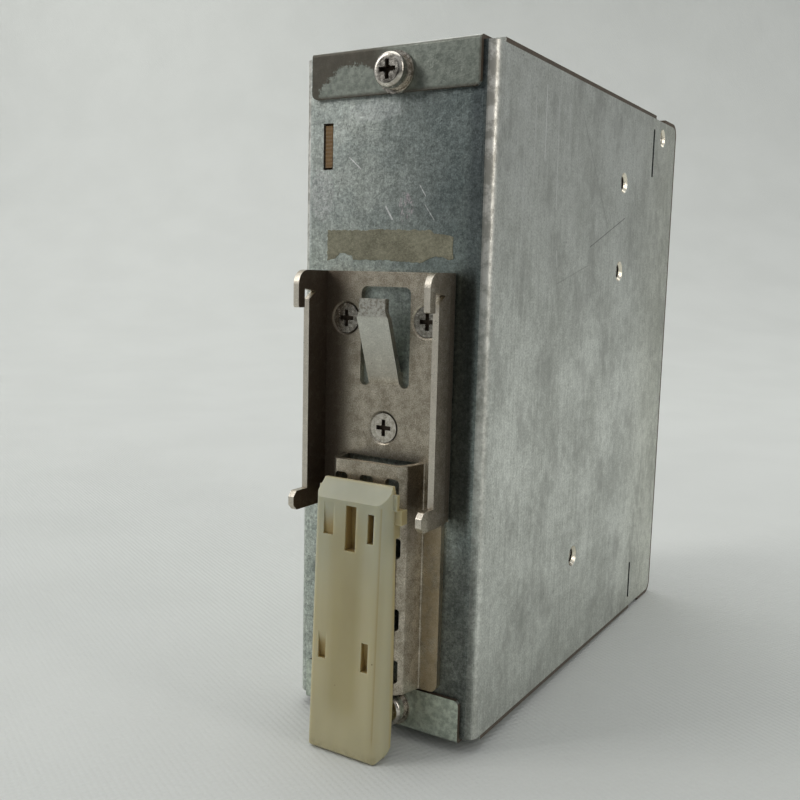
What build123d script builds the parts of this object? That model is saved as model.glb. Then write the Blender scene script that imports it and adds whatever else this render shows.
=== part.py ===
from build123d import *
import os
import math

# DIN-rail power supply in a folded sheet-metal case.
# Modelled in case coordinates: X across the width, Y = 0 at the rear wall and
# negative toward the front panel, Z = 0 at the underside. Everything is moved
# at the end so that the origin is the middle of the rail seat.

# ---------------------------------------------------------------- dimensions
W = 40.0            # case width
H = 125.2           # case height
D = 106.5           # case depth, rear wall to front panel
T = 0.8             # case sheet
R_BEND = 2.3        # outer radius of the vertical rear bends
SEAT = 6.8          # rail seat plane behind the rear wall
RAIL_MID = 62.6     # middle of the 35 mm rail
RAIL_H = 35.0
COVER_END = -88.9   # where the covers stop
LIP_END = -96.4     # where the front panel's turned lips stop
BR_T = 1.2          # bracket sheet
BR_HW = 14.3        # half width over the bracket flanges
WING_HW = 12.9      # half width of the lower wings
HAT_Y = 6.5         # face of the raised guide channel
HAT_HW = 8.0        # half width of the channel face
SL_HW = 7.7         # half width of the latch slider
SL_TOP = 48.3
SL_BOT = -2.2
SL_BACK = 8.2       # back of the latch head, just behind the rail's lower lip
SL_FACE = 11.2      # face of the latch at its head
SL_LEAN = 0.04      # the face leans out toward the pull end
TRAVEL = 5.0        # latch stroke
R_M3 = 1.5
FIT = 0.02          # radial gap of a screw in its own hole
PCB_X0, PCB_X1 = 13.4, 15.0
OUT_PITCH, OUT_N = 7.62, 4
IN_PITCH, IN_N = 9.5, 3

SHIFT = (0.0, -SEAT, -RAIL_MID)
parts = {}


def bx(x0, x1, y0, y1, z0, z1):
    return Pos((x0 + x1) / 2, (y0 + y1) / 2, (z0 + z1) / 2) * Box(abs(x1 - x0), abs(y1 - y0), abs(z1 - z0))


def cyl(ax, r, a0, a1, c1, c2):
    # cylinder along ax from a0 to a1; c1, c2 are the other two coordinates in X, Y, Z order
    h = abs(a1 - a0)
    m = (a0 + a1) / 2
    if ax == "x":
        return Pos(m, c1, c2) * Rot(0, 90, 0) * Cylinder(r, h)
    if ax == "y":
        return Pos(c1, m, c2) * Rot(90, 0, 0) * Cylinder(r, h)
    return Pos(c1, c2, m) * Cylinder(r, h)


def cone(ax, r0, r1, a0, a1, c1, c2):
    # radius r0 at a0, r1 at a1
    pl = {"x": Plane(origin=(a0, c1, c2), z_dir=(1, 0, 0)),
          "y": Plane(origin=(c1, a0, c2), z_dir=(0, 1, 0)),
          "z": Plane(origin=(c1, c2, a0), z_dir=(0, 0, 1))}[ax]
    h = a1 - a0
    s = Cone(r0, r1, abs(h), align=(Align.CENTER, Align.CENTER, Align.MIN))
    if h < 0:
        s = mirror(s, about=Plane.XY)
    return pl.location * s


def prism(plane, pts, h):
    # closed polygon extruded by h along the plane's normal
    return extrude(plane * Polygon(*pts, align=None), h, dir=tuple(plane.z_dir))


def yz(pts, x0, x1):
    return prism(Plane(origin=(x0, 0, 0), x_dir=(0, 1, 0), z_dir=(1, 0, 0)), pts, x1 - x0)


def xy(pts, z0, z1):
    return prism(Plane(origin=(0, 0, z0)), pts, z1 - z0)


def xz(pts, y0, y1):
    # points are (X, Z); extruded from y0 to y1
    return prism(Plane(origin=(0, y1, 0), x_dir=(1, 0, 0), z_dir=(0, -1, 0)), pts, y1 - y0)


def rbox(x0, x1, y0, y1, z0, z1, r, axis):
    b = bx(x0, x1, y0, y1, z0, z1)
    return fillet(b.edges().filter_by(axis), r)


def cross(ax, a0, a1, c1, c2, w, l):
    # cross recess cutter between a0 and a1
    h, k = w / 2, l / 2
    lo, hi = min(a0, a1), max(a0, a1)
    if ax == "y":
        s = bx(c1 - k, c1 + k, lo, hi, c2 - h, c2 + h) + bx(c1 - h, c1 + h, lo, hi, c2 - k, c2 + k)
        return s + cone("y", 0.12 * k, 0.52 * k, a0, a1, c1, c2)
    s = bx(lo, hi, c1 - k, c1 + k, c2 - h, c2 + h) + bx(lo, hi, c1 - h, c1 + h, c2 - k, c2 + k)
    return s + cone("x", 0.12 * k, 0.52 * k, a0, a1, c1, c2)


# ------------------------------------------------------------------- chassis
zb, zt = T, H - T
yf = -D + T
u = bx(-W / 2, W / 2, yf, 0, zb, zt)
rear_edges = u.edges().filter_by(Axis.Z).sort_by(Axis.Y)[-2:]
u = fillet(rear_edges, R_BEND)
core = bx(-W / 2 + T, W / 2 - T, yf - 1, -T, zb - 1, zt + 1)
core = fillet(core.edges().filter_by(Axis.Z).sort_by(Axis.Y)[-2:], R_BEND - T)
u = u - core
# front corners of the sides follow the front panel's turned edge
for z0, s in ((zt, -1), (zb, 1)):
    c = bx(-W / 2 - 1, W / 2 + 1, yf - 0.1, yf + 2.2, min(z0, z0 + s * 2.2), max(z0, z0 + s * 2.2)) \
        - cyl("x", 2.2, -W, W, yf + 2.2, z0 + s * 2.2)
    u = u - c
# circuit board tab slot in the rear wall
u = u - bx(13.1, 15.3, -T - 1, 1, 104.2, 112.6)
# thin relief slits in both sides
for s in (-1, 1):
    for za, zc in ((110.4, 121.8), (3.2, 12.6)):
        u = u - bx(s * W / 2 - 1.5, s * W / 2 + 1.5, -88.4, -87.3, za, zc)
# drawn thread collars in the -X side, for the screws that come from inside
SPREAD = [(-67.5, 107.1), (-67.3, 87.1), (-46.4, 24.5)]
FRONT_RIVET = (-95.0, 120.6)
xin = -W / 2 + T
for (y, z) in SPREAD:
    u = u + cyl("x", 2.5, xin - 0.2, xin + 0.9, y, z)
    u = u - cone("x", 2.35, 1.53, -W / 2 - 0.001, -W / 2 + 0.75, y, z)
    u = u - cyl("x", R_M3 + FIT, -W / 2 - 1, xin + 2, y, z)
for s in (-1, 1):
    u = u - cyl("x", 1.6, s * W / 2 - 2, s * W / 2 + 2, *FRONT_RIVET)
    u = u - cone("x", 2.2, 1.61, s * (W / 2 + 0.001), s * (W / 2 - 0.6), *FRONT_RIVET)
# tapped holes in the rear wall
BR_SCREWS = [(8.7, 76.9), (-8.7, 76.9), (0.0, 57.0)]
TOP_SCREW = (-1.0, 120.3)
BOT_SCREW = (-3.6, 4.1)
for (x, z) in BR_SCREWS + [TOP_SCREW, BOT_SCREW]:
    u = u + cyl("y", 2.5, -T - 0.9, -T + 0.2, x, z)
    u = u - cyl("y", R_M3 + FIT, -4, 1, x, z)
# pressed holes for the board standoffs in the +X side
STANDOFF = [(-7.0, 12.0), (-7.0, 98.0), (-78.0, 26.0), (-78.0, 98.0)]
for (y, z) in STANDOFF:
    u = u - cyl("x", 1.9, W / 2 - 2, W / 2 + 2, y, z)
parts["chassis"] = u

# ---------------------------------------------------------------- the covers
def cover(sign, flange_hw, flange_h):
    # built as the top cover; the bottom one is its mirror
    z1 = H
    z0 = H - T
    p = bx(-W / 2, W / 2, COVER_END, -3.3, z0, z1)
    neck = bx(-flange_hw, flange_hw, -3.4, T, z0 - 0.4, z1)
    fl = bx(-flange_hw, flange_hw, 0, T, z1 - flange_h, z1)
    q = fillet((neck + fl).edges().filter_by(Axis.X).sort_by(Axis.Y, reverse=True).filter_by(
        lambda e: abs(e.center().Z - z1) < 0.01)[:1], 0.75)
    q = q - bx(-W, W, -20, 0, z0 - 2, z0)
    fe = q.edges().filter_by(Axis.Y).filter_by(lambda e: abs(e.center().Z - (z1 - flange_h)) < 0.01)
    q = fillet(fe, 1.1)
    c = p + q
    for i in range(14):
        yy = -14.0 - i * 5.0
        for xx in (-8.5, 8.5):
            c = c - rbox(xx - 6.5, xx + 6.5, yy - 1.1, yy + 1.1, z0 - 1, z1 + 1, 1.09, Axis.Z)
    return c


top = cover(1, 17.5, 8.3)
top = top - cyl("y", 1.75, -1, 2, *TOP_SCREW)
parts["top_cover"] = top
bot = mirror(cover(1, 17.3, 8.2), about=Plane(origin=(0, 0, H / 2), z_dir=(0, 0, 1)))
bot = bot - cyl("y", 1.75, -1, 2, *BOT_SCREW)
parts["bottom_cover"] = bot

# ---------------------------------------------------------------- front panel
prof = bx(-W / 2, W / 2, -D, LIP_END, 0, H)
fe = prof.edges().filter_by(Axis.X).sort_by(Axis.Y)[:2]
prof = fillet(fe, 3.0)
inner = bx(-W, W, yf, 0, T, H - T)
inner = fillet(inner.edges().filter_by(Axis.X).sort_by(Axis.Y)[:2], 2.2)
fp = prof - inner
out_x0 = 12.6 - OUT_PITCH * OUT_N
in_x0 = 12.1 - IN_PITCH * IN_N
WIN_UP = (out_x0 - 0.9, 13.2, 107.6, 120.4)
WIN_DN = (in_x0 - 0.9, 12.7, 4.8, 17.6)
for w in (WIN_UP, WIN_DN):
    fp = fp - rbox(w[0], w[1], -D - 1, yf + 1, w[2], w[3], 0.8, Axis.Y)
# ears inside the sides
for s in (-1, 1):
    for zc in (FRONT_RIVET[1], H - FRONT_RIVET[1]):
        ear = bx(s * (W / 2 - T), s * (W / 2 - T - T), yf - 0.2, -90.5, zc - 2.6, zc + 2.6)
        fp = fp + ear
        fp = fp - cyl("x", 1.6, s * W / 2 - 4, s * W / 2 + 4, -95.0, zc)
LED_POS = (-8.0, 98.0)
TRIM_POS = (4.0, 98.0)
fp = fp - cyl("y", 1.6, -D - 1, yf + 1, *LED_POS)
fp = fp - cyl("y", 2.4, -D - 1, yf + 1, *TRIM_POS)
parts["front_panel"] = fp

riv = None
for s in (-1, 1):
    zc = FRONT_RIVET[1]
    r = cyl("x", 1.58, s * (W / 2 - 0.6), s * (W / 2 - 1.6), -95.0, zc) \
        + cyl("x", 2.3, s * (W / 2 - 1.6), s * (W / 2 - 2.1), -95.0, zc)
    r = r - cone("x", 0.9, 0.4, s * (W / 2 - 0.59), s * (W / 2 - 1.2), -95.0, zc)
    riv = r if riv is None else riv + r
parts["front_panel_rivets"] = riv

# blank rating label on the front panel (generic, no print)
parts["front_label"] = rbox(-17.0, 17.0, -D - 0.15, -D, 24.0, 88.0, 1.5, Axis.Y)

# --------------------------------------------------------------- DIN bracket
HOOK_TOP = 85.6
base = bx(-BR_HW, BR_HW, 0, BR_T, 41.5, HOOK_TOP)
fl_pts = [(0, 42.3), (3.0, 41.3), (9.9, 41.3), (10.9, 42.3), (10.9, 43.9), (10.0, 44.9), (SEAT, 44.9),
          (SEAT, 80.3), (4.7, 81.7), (8.1, 82.2), (8.1, 78.8), (9.9, 78.8), (9.9, HOOK_TOP), (0, HOOK_TOP)]
flange = yz(fl_pts, -BR_HW, -BR_HW + BR_T) + yz(fl_pts, BR_HW - BR_T, BR_HW)
top_in = BR_HW - BR_T
chan = base + flange
# round the outer bends along the flanges
oe = chan.edges().filter_by(Axis.Z).filter_by(lambda e: abs(e.center().Y) < 0.01 and abs(abs(e.center().X) - BR_HW) < 0.01 and e.length > 10)
chan = fillet(oe, 1.6)
# the hook's outer corner is a full round
hk = chan.edges().filter_by(Axis.X).filter_by(lambda e: e.center().Y > 9.8 and e.center().Z > HOOK_TOP - 0.1)
chan = fillet(hk, 2.6)
# soft ends on hook and foot
se = chan.edges().filter_by(Axis.X).filter_by(lambda e: e.center().Y > 9.0)
chan = fillet(se, 0.45)
# open the base between the bends below the feet, and cut the channel and tongue
chan = chan - bx(-9.2, 9.2, -1, BR_T + 1, 40.0, 51.4)
chan = chan - rbox(-5.3, 5.3, -1, BR_T + 1, 67.5, 82.9, 1.2, Axis.Y)
for s in (-1, 1):
    chan = chan - rbox(s * 3.3, s * 5.3, -1, BR_T + 1, 64.7, 70.0, 0.95, Axis.Y)
wing = bx(-WING_HW, WING_HW, 0, BR_T, 8.8, 41.6)
we = wing.edges().filter_by(Axis.Y)
wing = fillet(we, 1.6)
wing = wing + bx(-11.2, 11.2, 0, BR_T, 39.0, 43.0)
wing = wing - bx(-9.2, 9.2, -1, BR_T + 1, 8.0, 51.4)
br = chan + wing
# raised guide channel between the wings
hat_o = [(-9.2, 0), (-9.2, BR_T), (-9.0, 1.3), (-HAT_HW, HAT_Y - 1.3), (-HAT_HW + 1.3, HAT_Y), (HAT_HW - 1.3, HAT_Y), (HAT_HW, HAT_Y - 1.3), (9.0, 1.3), (9.2, BR_T), (9.2, 0),
         (8.1, 0), (HAT_HW - 1.2, HAT_Y - 1.9), (HAT_HW - 1.8, HAT_Y - BR_T), (-HAT_HW + 1.8, HAT_Y - BR_T), (-HAT_HW + 1.2, HAT_Y - 1.9), (-8.1, 0)]
hat = xy(hat_o, 8.8, 51.4)
he = hat.edges().filter_by(Axis.Z).filter_by(lambda e: e.center().Y > HAT_Y - 1.5 and abs(e.center().X) > HAT_HW - 1.4)
hat = fillet(he, 1.0)
for (xa, xc) in ((4.1, 6.9), (-1.5, 1.4), (-6.9, -4.1)):
    hat = hat - rbox(xa, xc, HAT_Y - 2.0, 8.0, 42.0, 49.0, 0.8, Axis.Y)
for s in (-1, 1):
    for za, zc in ((34.5, 38.3), (21.0, 25.2), (11.0, 15.5)):
        hat = hat - rbox(s * 6.55 - 0.75, s * 6.55 + 0.75, 3.6, 8.0, za, zc, 0.6, Axis.Y)
br = br + hat
# spring tongue: lanced from the base, rising from its root to a small lip
tang = math.atan2(4.8, 12.6)
tn = [(0.0, 64.0), (1.2, 64.0), (1.2, 65.2), (5.7, 77.6), (5.7, 80.8), (4.55, 80.8), (4.55, 77.9), (0.6, 67.2), (0.0, 67.2)]
tongue = yz(tn, -3.3, 3.3)
tongue = tongue - xz([(-3.4, 77.0), (-2.8, 78.6), (-2.8, 81.5), (-3.4, 81.5)], -1, 8) - xz([(3.4, 77.0), (2.8, 78.6), (2.8, 81.5), (3.4, 81.5)], -1, 8)
br = br + tongue
for (x, z) in BR_SCREWS:
    br = br - cyl("y", R_M3 + 0.1, -1, 2, x, z) - cone("y", R_M3 + 0.1, 3.2, 0.0, BR_T + 0.001, x, z)
parts["din_bracket"] = br

# countersunk bracket screws, cross recess, thread into the rear wall
bs = None
for (x, z) in BR_SCREWS:
    s = cone("y", R_M3 + 0.02, 2.75, 0.12, BR_T - 0.12, x, z) + cyl("y", R_M3, -3.4, 0.2, x, z)
    s = s - cross("y", 0.3, BR_T + 0.2, x, z, 0.8, 3.1)
    bs = s if bs is None else bs + s
parts["bracket_screws"] = bs

# cover screws with a plain and a spring washer each
cs = fw = sw = None
for (x, z) in (TOP_SCREW, BOT_SCREW):
    a = cyl("y", 3.7, T, T + 0.5, x, z) - cyl("y", 1.65, 0, 3, x, z)
    b = cyl("y", 3.0, T + 0.5, T + 1.2, x, z) - cyl("y", 1.6, 0, 4, x, z)
    b = b - Pos(x, 0, z) * Rot(0, 20, 0) * bx(0, 4, T + 0.4, T + 1.3, -0.15, 0.15)
    hd = cyl("y", 3.1, T + 1.2, T + 3.3, x, z)
    hd = fillet(hd.edges().filter_by(GeomType.CIRCLE).sort_by(Axis.Y)[-1:], 0.9)
    c = hd + cyl("y", R_M3, -4.2, T + 1.4, x, z)
    c = c - cross("y", T + 1.9, T + 3.5, x, z, 0.8, 3.4)
    cs = c if cs is None else cs + c
    fw = a if fw is None else fw + a
    sw = b if sw is None else sw + b
parts["cover_screws"] = cs
parts["flat_washers"] = fw
parts["spring_washers"] = sw

# ------------------------------------------------------------- latch slider
CL = 0.3


def face_y(z):
    return SL_FACE + SL_LEAN * (45.0 - z)


sl = yz([(SL_BACK, 40.0), (SL_BACK, SL_TOP), (8.9, SL_TOP), (SL_FACE, 45.0), (face_y(SL_BOT + 0.6), SL_BOT + 0.6),
         (face_y(SL_BOT) - 0.6, SL_BOT), (10.6, SL_BOT), (8.4, SL_BOT + 2.2), (8.0, 8.0)], -SL_HW, SL_HW)
# long front edges: the +X one is crisp, the -X one well rounded
long_e = sl.edges().filter_by(lambda e: e.length > 40 and e.center().Y > 11.0)
sl = fillet(long_e.sort_by(Axis.X)[:1], 2.6)
long_e = sl.edges().filter_by(lambda e: e.length > 40 and e.center().Y > 11.0 and e.center().X > SL_HW - 0.1)
sl = fillet(long_e, 0.9)
# shoulders taper in at the head
for s in (-1, 1):
    sl = sl - xz([(s * 7.25, SL_TOP + 0.1), (s * (SL_HW + 0.1), 45.4), (s * (SL_HW + 1), 45.4), (s * (SL_HW + 1), SL_TOP + 1), (s * 7.25, SL_TOP + 1)], 5, 14)
# the pull end has round lower corners
for s in (-1, 1):
    c = bx(s * (SL_HW - 1.8), s * (SL_HW + 1), 5, 16, SL_BOT - 1, SL_BOT + 1.8)
    sl = sl - (c - cyl("y", 1.8, 4, 17, s * (SL_HW - 1.8), SL_BOT + 1.8))
# guide blocks that bear on the raised channel, with a step at the head
g = bx(-SL_HW + 0.05, SL_HW - 0.05, HAT_Y + CL, 8.4, 38.8, 43.4)
g = g + bx(-SL_HW + 0.05, SL_HW - 0.05, 7.4, 8.4, 43.3, 44.5)
g = g - bx(-3.6, 3.6, 5, SL_BACK, 38, 46)
for s in (-1, 1):
    g = g + bx(s * 4.4, s * 6.0, HAT_Y + CL, 8.6, 9.5, 39.0)
# tabs that look out past the sides of the channel
for s in (-1, 1):
    g = g + bx(s * 6.8, s * 9.05, HAT_Y + CL, 8.7, 41.5, 44.1) + bx(s * 6.8, s * 8.3, SL_BACK, 9.2, 44.0, 46.9)
sl = sl + g
# cross ribs in the hollow back
for zz in (12.0, 20.0, 28.0):
    sl = sl + bx(-4.5, 4.5, 7.2, 8.6, zz, zz + 1.2)
# moulded pockets in the face
sl = sl - bx(-1.25, 1.05, 9.3, 14, 36.0, 44.2)
sl = sl - bx(-5.0, -3.7, 5.0, 14, 38.0, 43.3)
sl = sl - yz([(face_y(38.4) - 0.55, 38.4), (14, 38.4), (14, 44.3), (face_y(44.3) - 0.02, 44.3)], 3.6, 5.8)
sl = sl - yz([(face_y(15.2) - 0.9, 15.2), (14, 15.2), (14, 20.2), (face_y(20.2) - 0.02, 20.2)], 4.3, 6.0)
sl = sl - yz([(face_y(14.6) - 1.6, 14.6), (14, 14.6), (14, 20.0), (face_y(20.0) - 0.6, 20.0)], -4.9, -3.4)
parts["latch_slider"] = sl

# ------------------------------------------------------------------- circuit
pcb = bx(PCB_X0, PCB_X1, -100.0, -1.4, 4.0, 121.0) + bx(PCB_X0, PCB_X1, -2.0, -0.25, 104.6, 112.2)
pcb = pcb - bx(PCB_X0 - 1, PCB_X1 + 1, -101, -88.0, 103.0, 122.0) - bx(PCB_X0 - 1, PCB_X1 + 1, -101, -88.0, 3.0, 22.0)
for (y, z) in STANDOFF:
    pcb = pcb - cyl("x", 1.6, PCB_X0 - 1, PCB_X1 + 1, y, z)
parts["main_pcb"] = pcb
so = sc = None
for (y, z) in STANDOFF:
    a = cyl("x", 2.7, PCB_X1, W / 2 - T, y, z) + cyl("x", 1.88, W / 2 - T - 0.1, W / 2 - 0.1, y, z)
    a = a - cyl("x", 1.27, PCB_X1 - 1, W / 2 - T, y, z)
    b = cyl("x", 1.25, PCB_X0 - 0.1, W / 2 - T - 0.5, y, z) + cyl("x", 2.3, PCB_X0 - 1.7, PCB_X0, y, z)
    b = b - cross("x", PCB_X0 - 0.9, PCB_X0 - 1.9, y, z, 0.6, 2.4)
    so = a if so is None else so + a
    sc = b if sc is None else sc + b
parts["pcb_standoffs"] = so
parts["pcb_screws"] = sc
ins = bx(18.4, 18.7, -99.0, -3.0, 6.0, 119.0)
for (y, z) in STANDOFF:
    ins = ins - cyl("x", 2.72, 17, 20, y, z)
for zc in (FRONT_RIVET[1], H - FRONT_RIVET[1]):
    ins = ins - bx(17, 20, -101, -88.0, zc - 5, zc + 5)
parts["pcb_insulator"] = ins

# ------------------------------------------------------------- terminal rows
def terminal_row(x0, pitch, n, zlow, up):
    """Housing with screws facing the front and wires entering from above (up) or below."""
    x1 = x0 + pitch * n
    zhi = zlow + 13.0
    yb, yfr = -84.5, -105.2
    h = bx(x0 - 0.6, x1 + 0.3, yfr, yb, zlow, zhi)
    nose = bx(x0 - 0.5, x1 + 0.2, -D + 0.15, yfr + 0.1, zlow + 0.5, zhi - 0.5)
    h = h + nose
    screws, cages, bars = [], [], None
    zc = zlow + 6.5
    for i in range(n):
        xc = x0 + pitch * (i + 0.5)
        # screw well from the front, with a running seat for the head
        h = h - cyl("y", 2.75, -D - 1, -103.6, xc, zc) - cyl("y", 2.4, -104.0, -100.0, xc, zc)
        # cage chamber, open to the wire side
        h = h - bx(xc - 3.05, xc + 3.05, -101.0, -87.6, zlow + 1.6, zhi - 1.6)
        # wire funnel
        if up:
            h = h - bx(xc - 2.4, xc + 2.4, -94.6, -89.6, zhi - 2.0, zhi + 1)
        else:
            h = h - bx(xc - 2.4, xc + 2.4, -94.6, -89.6, zlow - 1, zlow + 2.0)
        # clamp screw: head in the well, shank through the cage's front wall, tip on the bar
        s = cyl("y", 2.35, -103.0, -100.9, xc, zc) + cyl("y", 1.5, -101.0, -95.5, xc, zc)
        s = s - cross("y", -101.9, -103.2, xc, zc, 0.6, 2.9)
        s = s - bx(xc - 2.6, xc + 2.6, -103.2, -102.2, zc - 0.3, zc + 0.3)
        screws.append(s)
        # contact bar fixed in the housing, solder leg toward the board side
        b = bx(xc - 1.5, xc + 1.5, -95.2, -94.4, zlow + 1.0, zhi - 1.0)
        leg_z0, leg_z1 = (zlow - 3.0, zlow + 1.2) if up else (zhi - 1.2, zhi + 3.0)
        b = b + bx(xc - 0.5, xc + 0.5, -95.2, -94.4, leg_z0, leg_z1)
        h = h - bx(xc - 1.5, xc + 1.5, -95.2, -94.4, zlow + 1.0, zhi - 1.0) - bx(xc - 0.5, xc + 0.5, -95.2, -94.4, leg_z0, leg_z1)
        bars = b if bars is None else bars + b
        # cage: square tube open along Z
        c = bx(xc - 2.7, xc + 2.7, -97.6, -88.2, zc - 3.2, zc + 3.2) - bx(xc - 1.85, xc + 1.85, -96.6, -89.2, zc - 5, zc + 5)
        c = fillet(c.edges().filter_by(Axis.Z).filter_by(lambda e: abs(abs(e.center().X - xc) - 2.7) < 0.01), 0.6)
        c = c - cyl("y", 1.55, -99, -96, xc, zc)
        cages.append(c)
    return h, screws, cages, bars


h, scr, cag, bars = terminal_row(out_x0, OUT_PITCH, OUT_N, 107.5, True)
# relief beside the front panel's ear and rivet
h = h - bx(-19.0, -17.75, -105.5, -89.5, 117.2, 121.0)
parts["output_terminal_housing"] = h
parts["output_terminal_bars"] = bars
for i in range(OUT_N):
    parts["output_screw_%d" % (i + 1)] = scr[i]
    parts["output_cage_%d" % (i + 1)] = cag[i]
h, scr, cag, bars = terminal_row(in_x0, IN_PITCH, IN_N, 4.7, False)
parts["input_terminal_housing"] = h
parts["input_terminal_bars"] = bars
for i in range(IN_N):
    parts["input_screw_%d" % (i + 1)] = scr[i]
    parts["input_cage_%d" % (i + 1)] = cag[i]
# small boards that carry the terminal rows, square to the main board
ob = bx(-18.0, PCB_X0, -99.0, -84.5, 105.9, 107.5)
ib = bx(-18.0, PCB_X0, -99.0, -84.5, 17.7, 19.3)
for i in range(OUT_N):
    xc = out_x0 + OUT_PITCH * (i + 0.5)
    ob = ob - bx(xc - 0.55, xc + 0.55, -95.25, -94.35, 104, 108)
for i in range(IN_N):
    xc = in_x0 + IN_PITCH * (i + 0.5)
    ib = ib - bx(xc - 0.55, xc + 0.55, -95.25, -94.35, 17, 21)
parts["output_terminal_board"] = ob
parts["input_terminal_board"] = ib

# --------------------------------------------------- parts on the main board
def on_board(y0, y1, z0, z1, h, r=0.0):
    b = bx(PCB_X0 - h, PCB_X0, y0, y1, z0, z1)
    if r:
        b = fillet(b.edges().filter_by(Axis.X), r)
    return b


# input filter, lower rear and lower front
fuse = cyl("z", 2.5, 24.5, 44.5, PCB_X0 - 5.0, -82.0)
caps = cyl("z", 2.75, 24.5, 30.0, PCB_X0 - 5.0, -82.0) - cyl("z", 2.51, 20, 50, PCB_X0 - 5.0, -82.0)
caps = caps + (cyl("z", 2.75, 39.0, 44.5, PCB_X0 - 5.0, -82.0) - cyl("z", 2.51, 20, 50, PCB_X0 - 5.0, -82.0))
caps = caps + bx(PCB_X0 - 2.4, PCB_X0, -82.5, -81.5, 25.5, 29.0) + bx(PCB_X0 - 2.4, PCB_X0, -82.5, -81.5, 40.0, 43.5)
parts["input_fuse"] = fuse
parts["fuse_clips"] = caps
parts["thermistor"] = cyl("y", 6.0, -76.0, -71.0, PCB_X0 - 8.5, 34.0) + bx(PCB_X0 - 3.5, PCB_X0, -74.0, -73.2, 31.0, 31.8) + bx(PCB_X0 - 3.5, PCB_X0, -74.0, -73.2, 36.2, 37.0)
parts["varistor"] = cyl("y", 5.0, -69.5, -66.0, PCB_X0 - 7.5, 34.0) + bx(PCB_X0 - 3.5, PCB_X0, -68.1, -67.4, 31.0, 31.8) + bx(PCB_X0 - 3.5, PCB_X0, -68.1, -67.4, 36.2, 37.0)
parts["x_capacitor"] = on_board(-74.0, -56.0, 6.5, 24.0, 15.0, 0.6)
yc = None
for zz in (29.5, 41.0):
    c = cyl("y", 4.0, -62.5, -59.5, PCB_X0 - 6.5, zz) + bx(PCB_X0 - 3.2, PCB_X0, -61.4, -60.7, zz - 2.9, zz - 2.2) + bx(PCB_X0 - 3.2, PCB_X0, -61.4, -60.7, zz + 2.2, zz + 2.9)
    yc = c if yc is None else yc + c
parts["y_capacitors"] = yc
# common-mode choke: ring core in a carrier, two windings
cx, cy_, cz = PCB_X0 - 10.5, -40.0, 16.0
core_ = cyl("x", 9.0, cx - 4.0, cx + 4.0, cy_, cz) - cyl("x", 4.5, cx - 6, cx + 6, cy_, cz)
basep = bx(PCB_X0 - 5.2, PCB_X0, cy_ - 9.5, cy_ + 9.5, cz - 9.5, cz + 9.5)
parts["choke_base"] = basep
ring = cyl("x", 10.2, cx - 5.2, cx + 5.2, cy_, cz) - cyl("x", 3.3, cx - 7, cx + 7, cy_, cz)
inner_ring = cyl("x", 9.02, cx - 4.02, cx + 4.02, cy_, cz) - cyl("x", 4.48, cx - 6, cx + 6, cy_, cz)
wsec = bx(cx - 7, cx + 7, cy_ - 12, cy_ - 1.6, cz - 12, cz + 12) + bx(cx - 7, cx + 7, cy_ + 1.6, cy_ + 12, cz - 12, cz + 12)
parts["choke_core"] = core_
parts["choke_windings"] = (ring - inner_ring) & wsec
parts["bridge_rectifier"] = on_board(-28.0, -24.0, 8.0, 24.0, 12.0, 0.5)
bc = None
for (y, z) in ((-16.5, 40.0), (-16.5, 60.5)):
    c = cyl("x", 9.5, PCB_X0 - 26.0, PCB_X0 - 0.5, y, z) + cyl("x", 3.2, PCB_X0 - 0.6, PCB_X0, y, z)
    e = c.edges().filter_by(GeomType.CIRCLE).sort_by(Axis.X)[:1]
    c = fillet(e, 0.8)
    c = c - cyl("x", 10.5, PCB_X0 - 3.2, PCB_X0 - 2.2, y, z) + cyl("x", 9.1, PCB_X0 - 3.3, PCB_X0 - 2.1, y, z)
    c = c - bx(PCB_X0 - 27, PCB_X0 - 25.75, y - 5.5, y + 5.5, z - 0.2, z + 0.2) - bx(PCB_X0 - 27, PCB_X0 - 25.75, y - 0.2, y + 0.2, z - 5.5, z + 5.5)
    bc = c if bc is None else bc + c
parts["bulk_capacitors"] = bc
# heat spreaders clamped to the -X side
xs = xin + 0.9
hs1 = bx(xs, xs + 2.0, -62.0, -34.0, 8.0, 40.0)
hs1 = hs1 + bx(xs, PCB_X0, -36.0, -34.0, 29.0, 39.9)
hs2 = bx(xs, xs + 2.0, -80.0, -56.0, 74.0, 117.0)
hs2 = hs2 + bx(xs, PCB_X0, -58.0, -56.0, 100.5, 116.9)
for (y, z) in SPREAD[:2]:
    hs2 = hs2 - cyl("x", 1.6, xs - 1, xs + 3, y, z)
hs1 = hs1 - cyl("x", 1.6, xs - 1, xs + 3, *SPREAD[2])
parts["primary_heat_spreader"] = hs1
parts["secondary_heat_spreader"] = hs2
DEV_T = 4.4
q = bx(xs + 2.3, xs + 2.3 + DEV_T, -51.4, -41.4, 17.0, 33.0) - cyl("x", 1.6, xs, xs + 9, *SPREAD[2])
parts["switching_transistor"] = q
d = None
for (y, z) in SPREAD[:2]:
    a = bx(xs + 2.3, xs + 2.3 + DEV_T, y - 5.0, y + 5.0, z - 7.5, z + 7.5) - cyl("x", 1.6, xs, xs + 9, y, z)
    d = a if d is None else d + a
parts["output_rectifiers"] = d
pad = None
scw = None
for (y, z) in SPREAD:
    a = bx(xs + 2.0, xs + 2.3, y - 6.0, y + 6.0, z - 9.0, z + 9.0) - cyl("x", 1.6, xs, xs + 9, y, z)
    hx = xs + 2.3 + DEV_T
    b = cyl("x", R_M3, -W / 2 + 0.95, hx + 0.1, y, z) + cyl("x", 2.8, hx, hx + 2.2, y, z)
    b = b - cross("x", hx + 1.2, hx + 2.4, y, z, 0.7, 3.0)
    pad = a if pad is None else pad + a
    scw = b if scw is None else scw + b
parts["thermal_pads"] = pad
parts["heatsink_screws"] = scw
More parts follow.
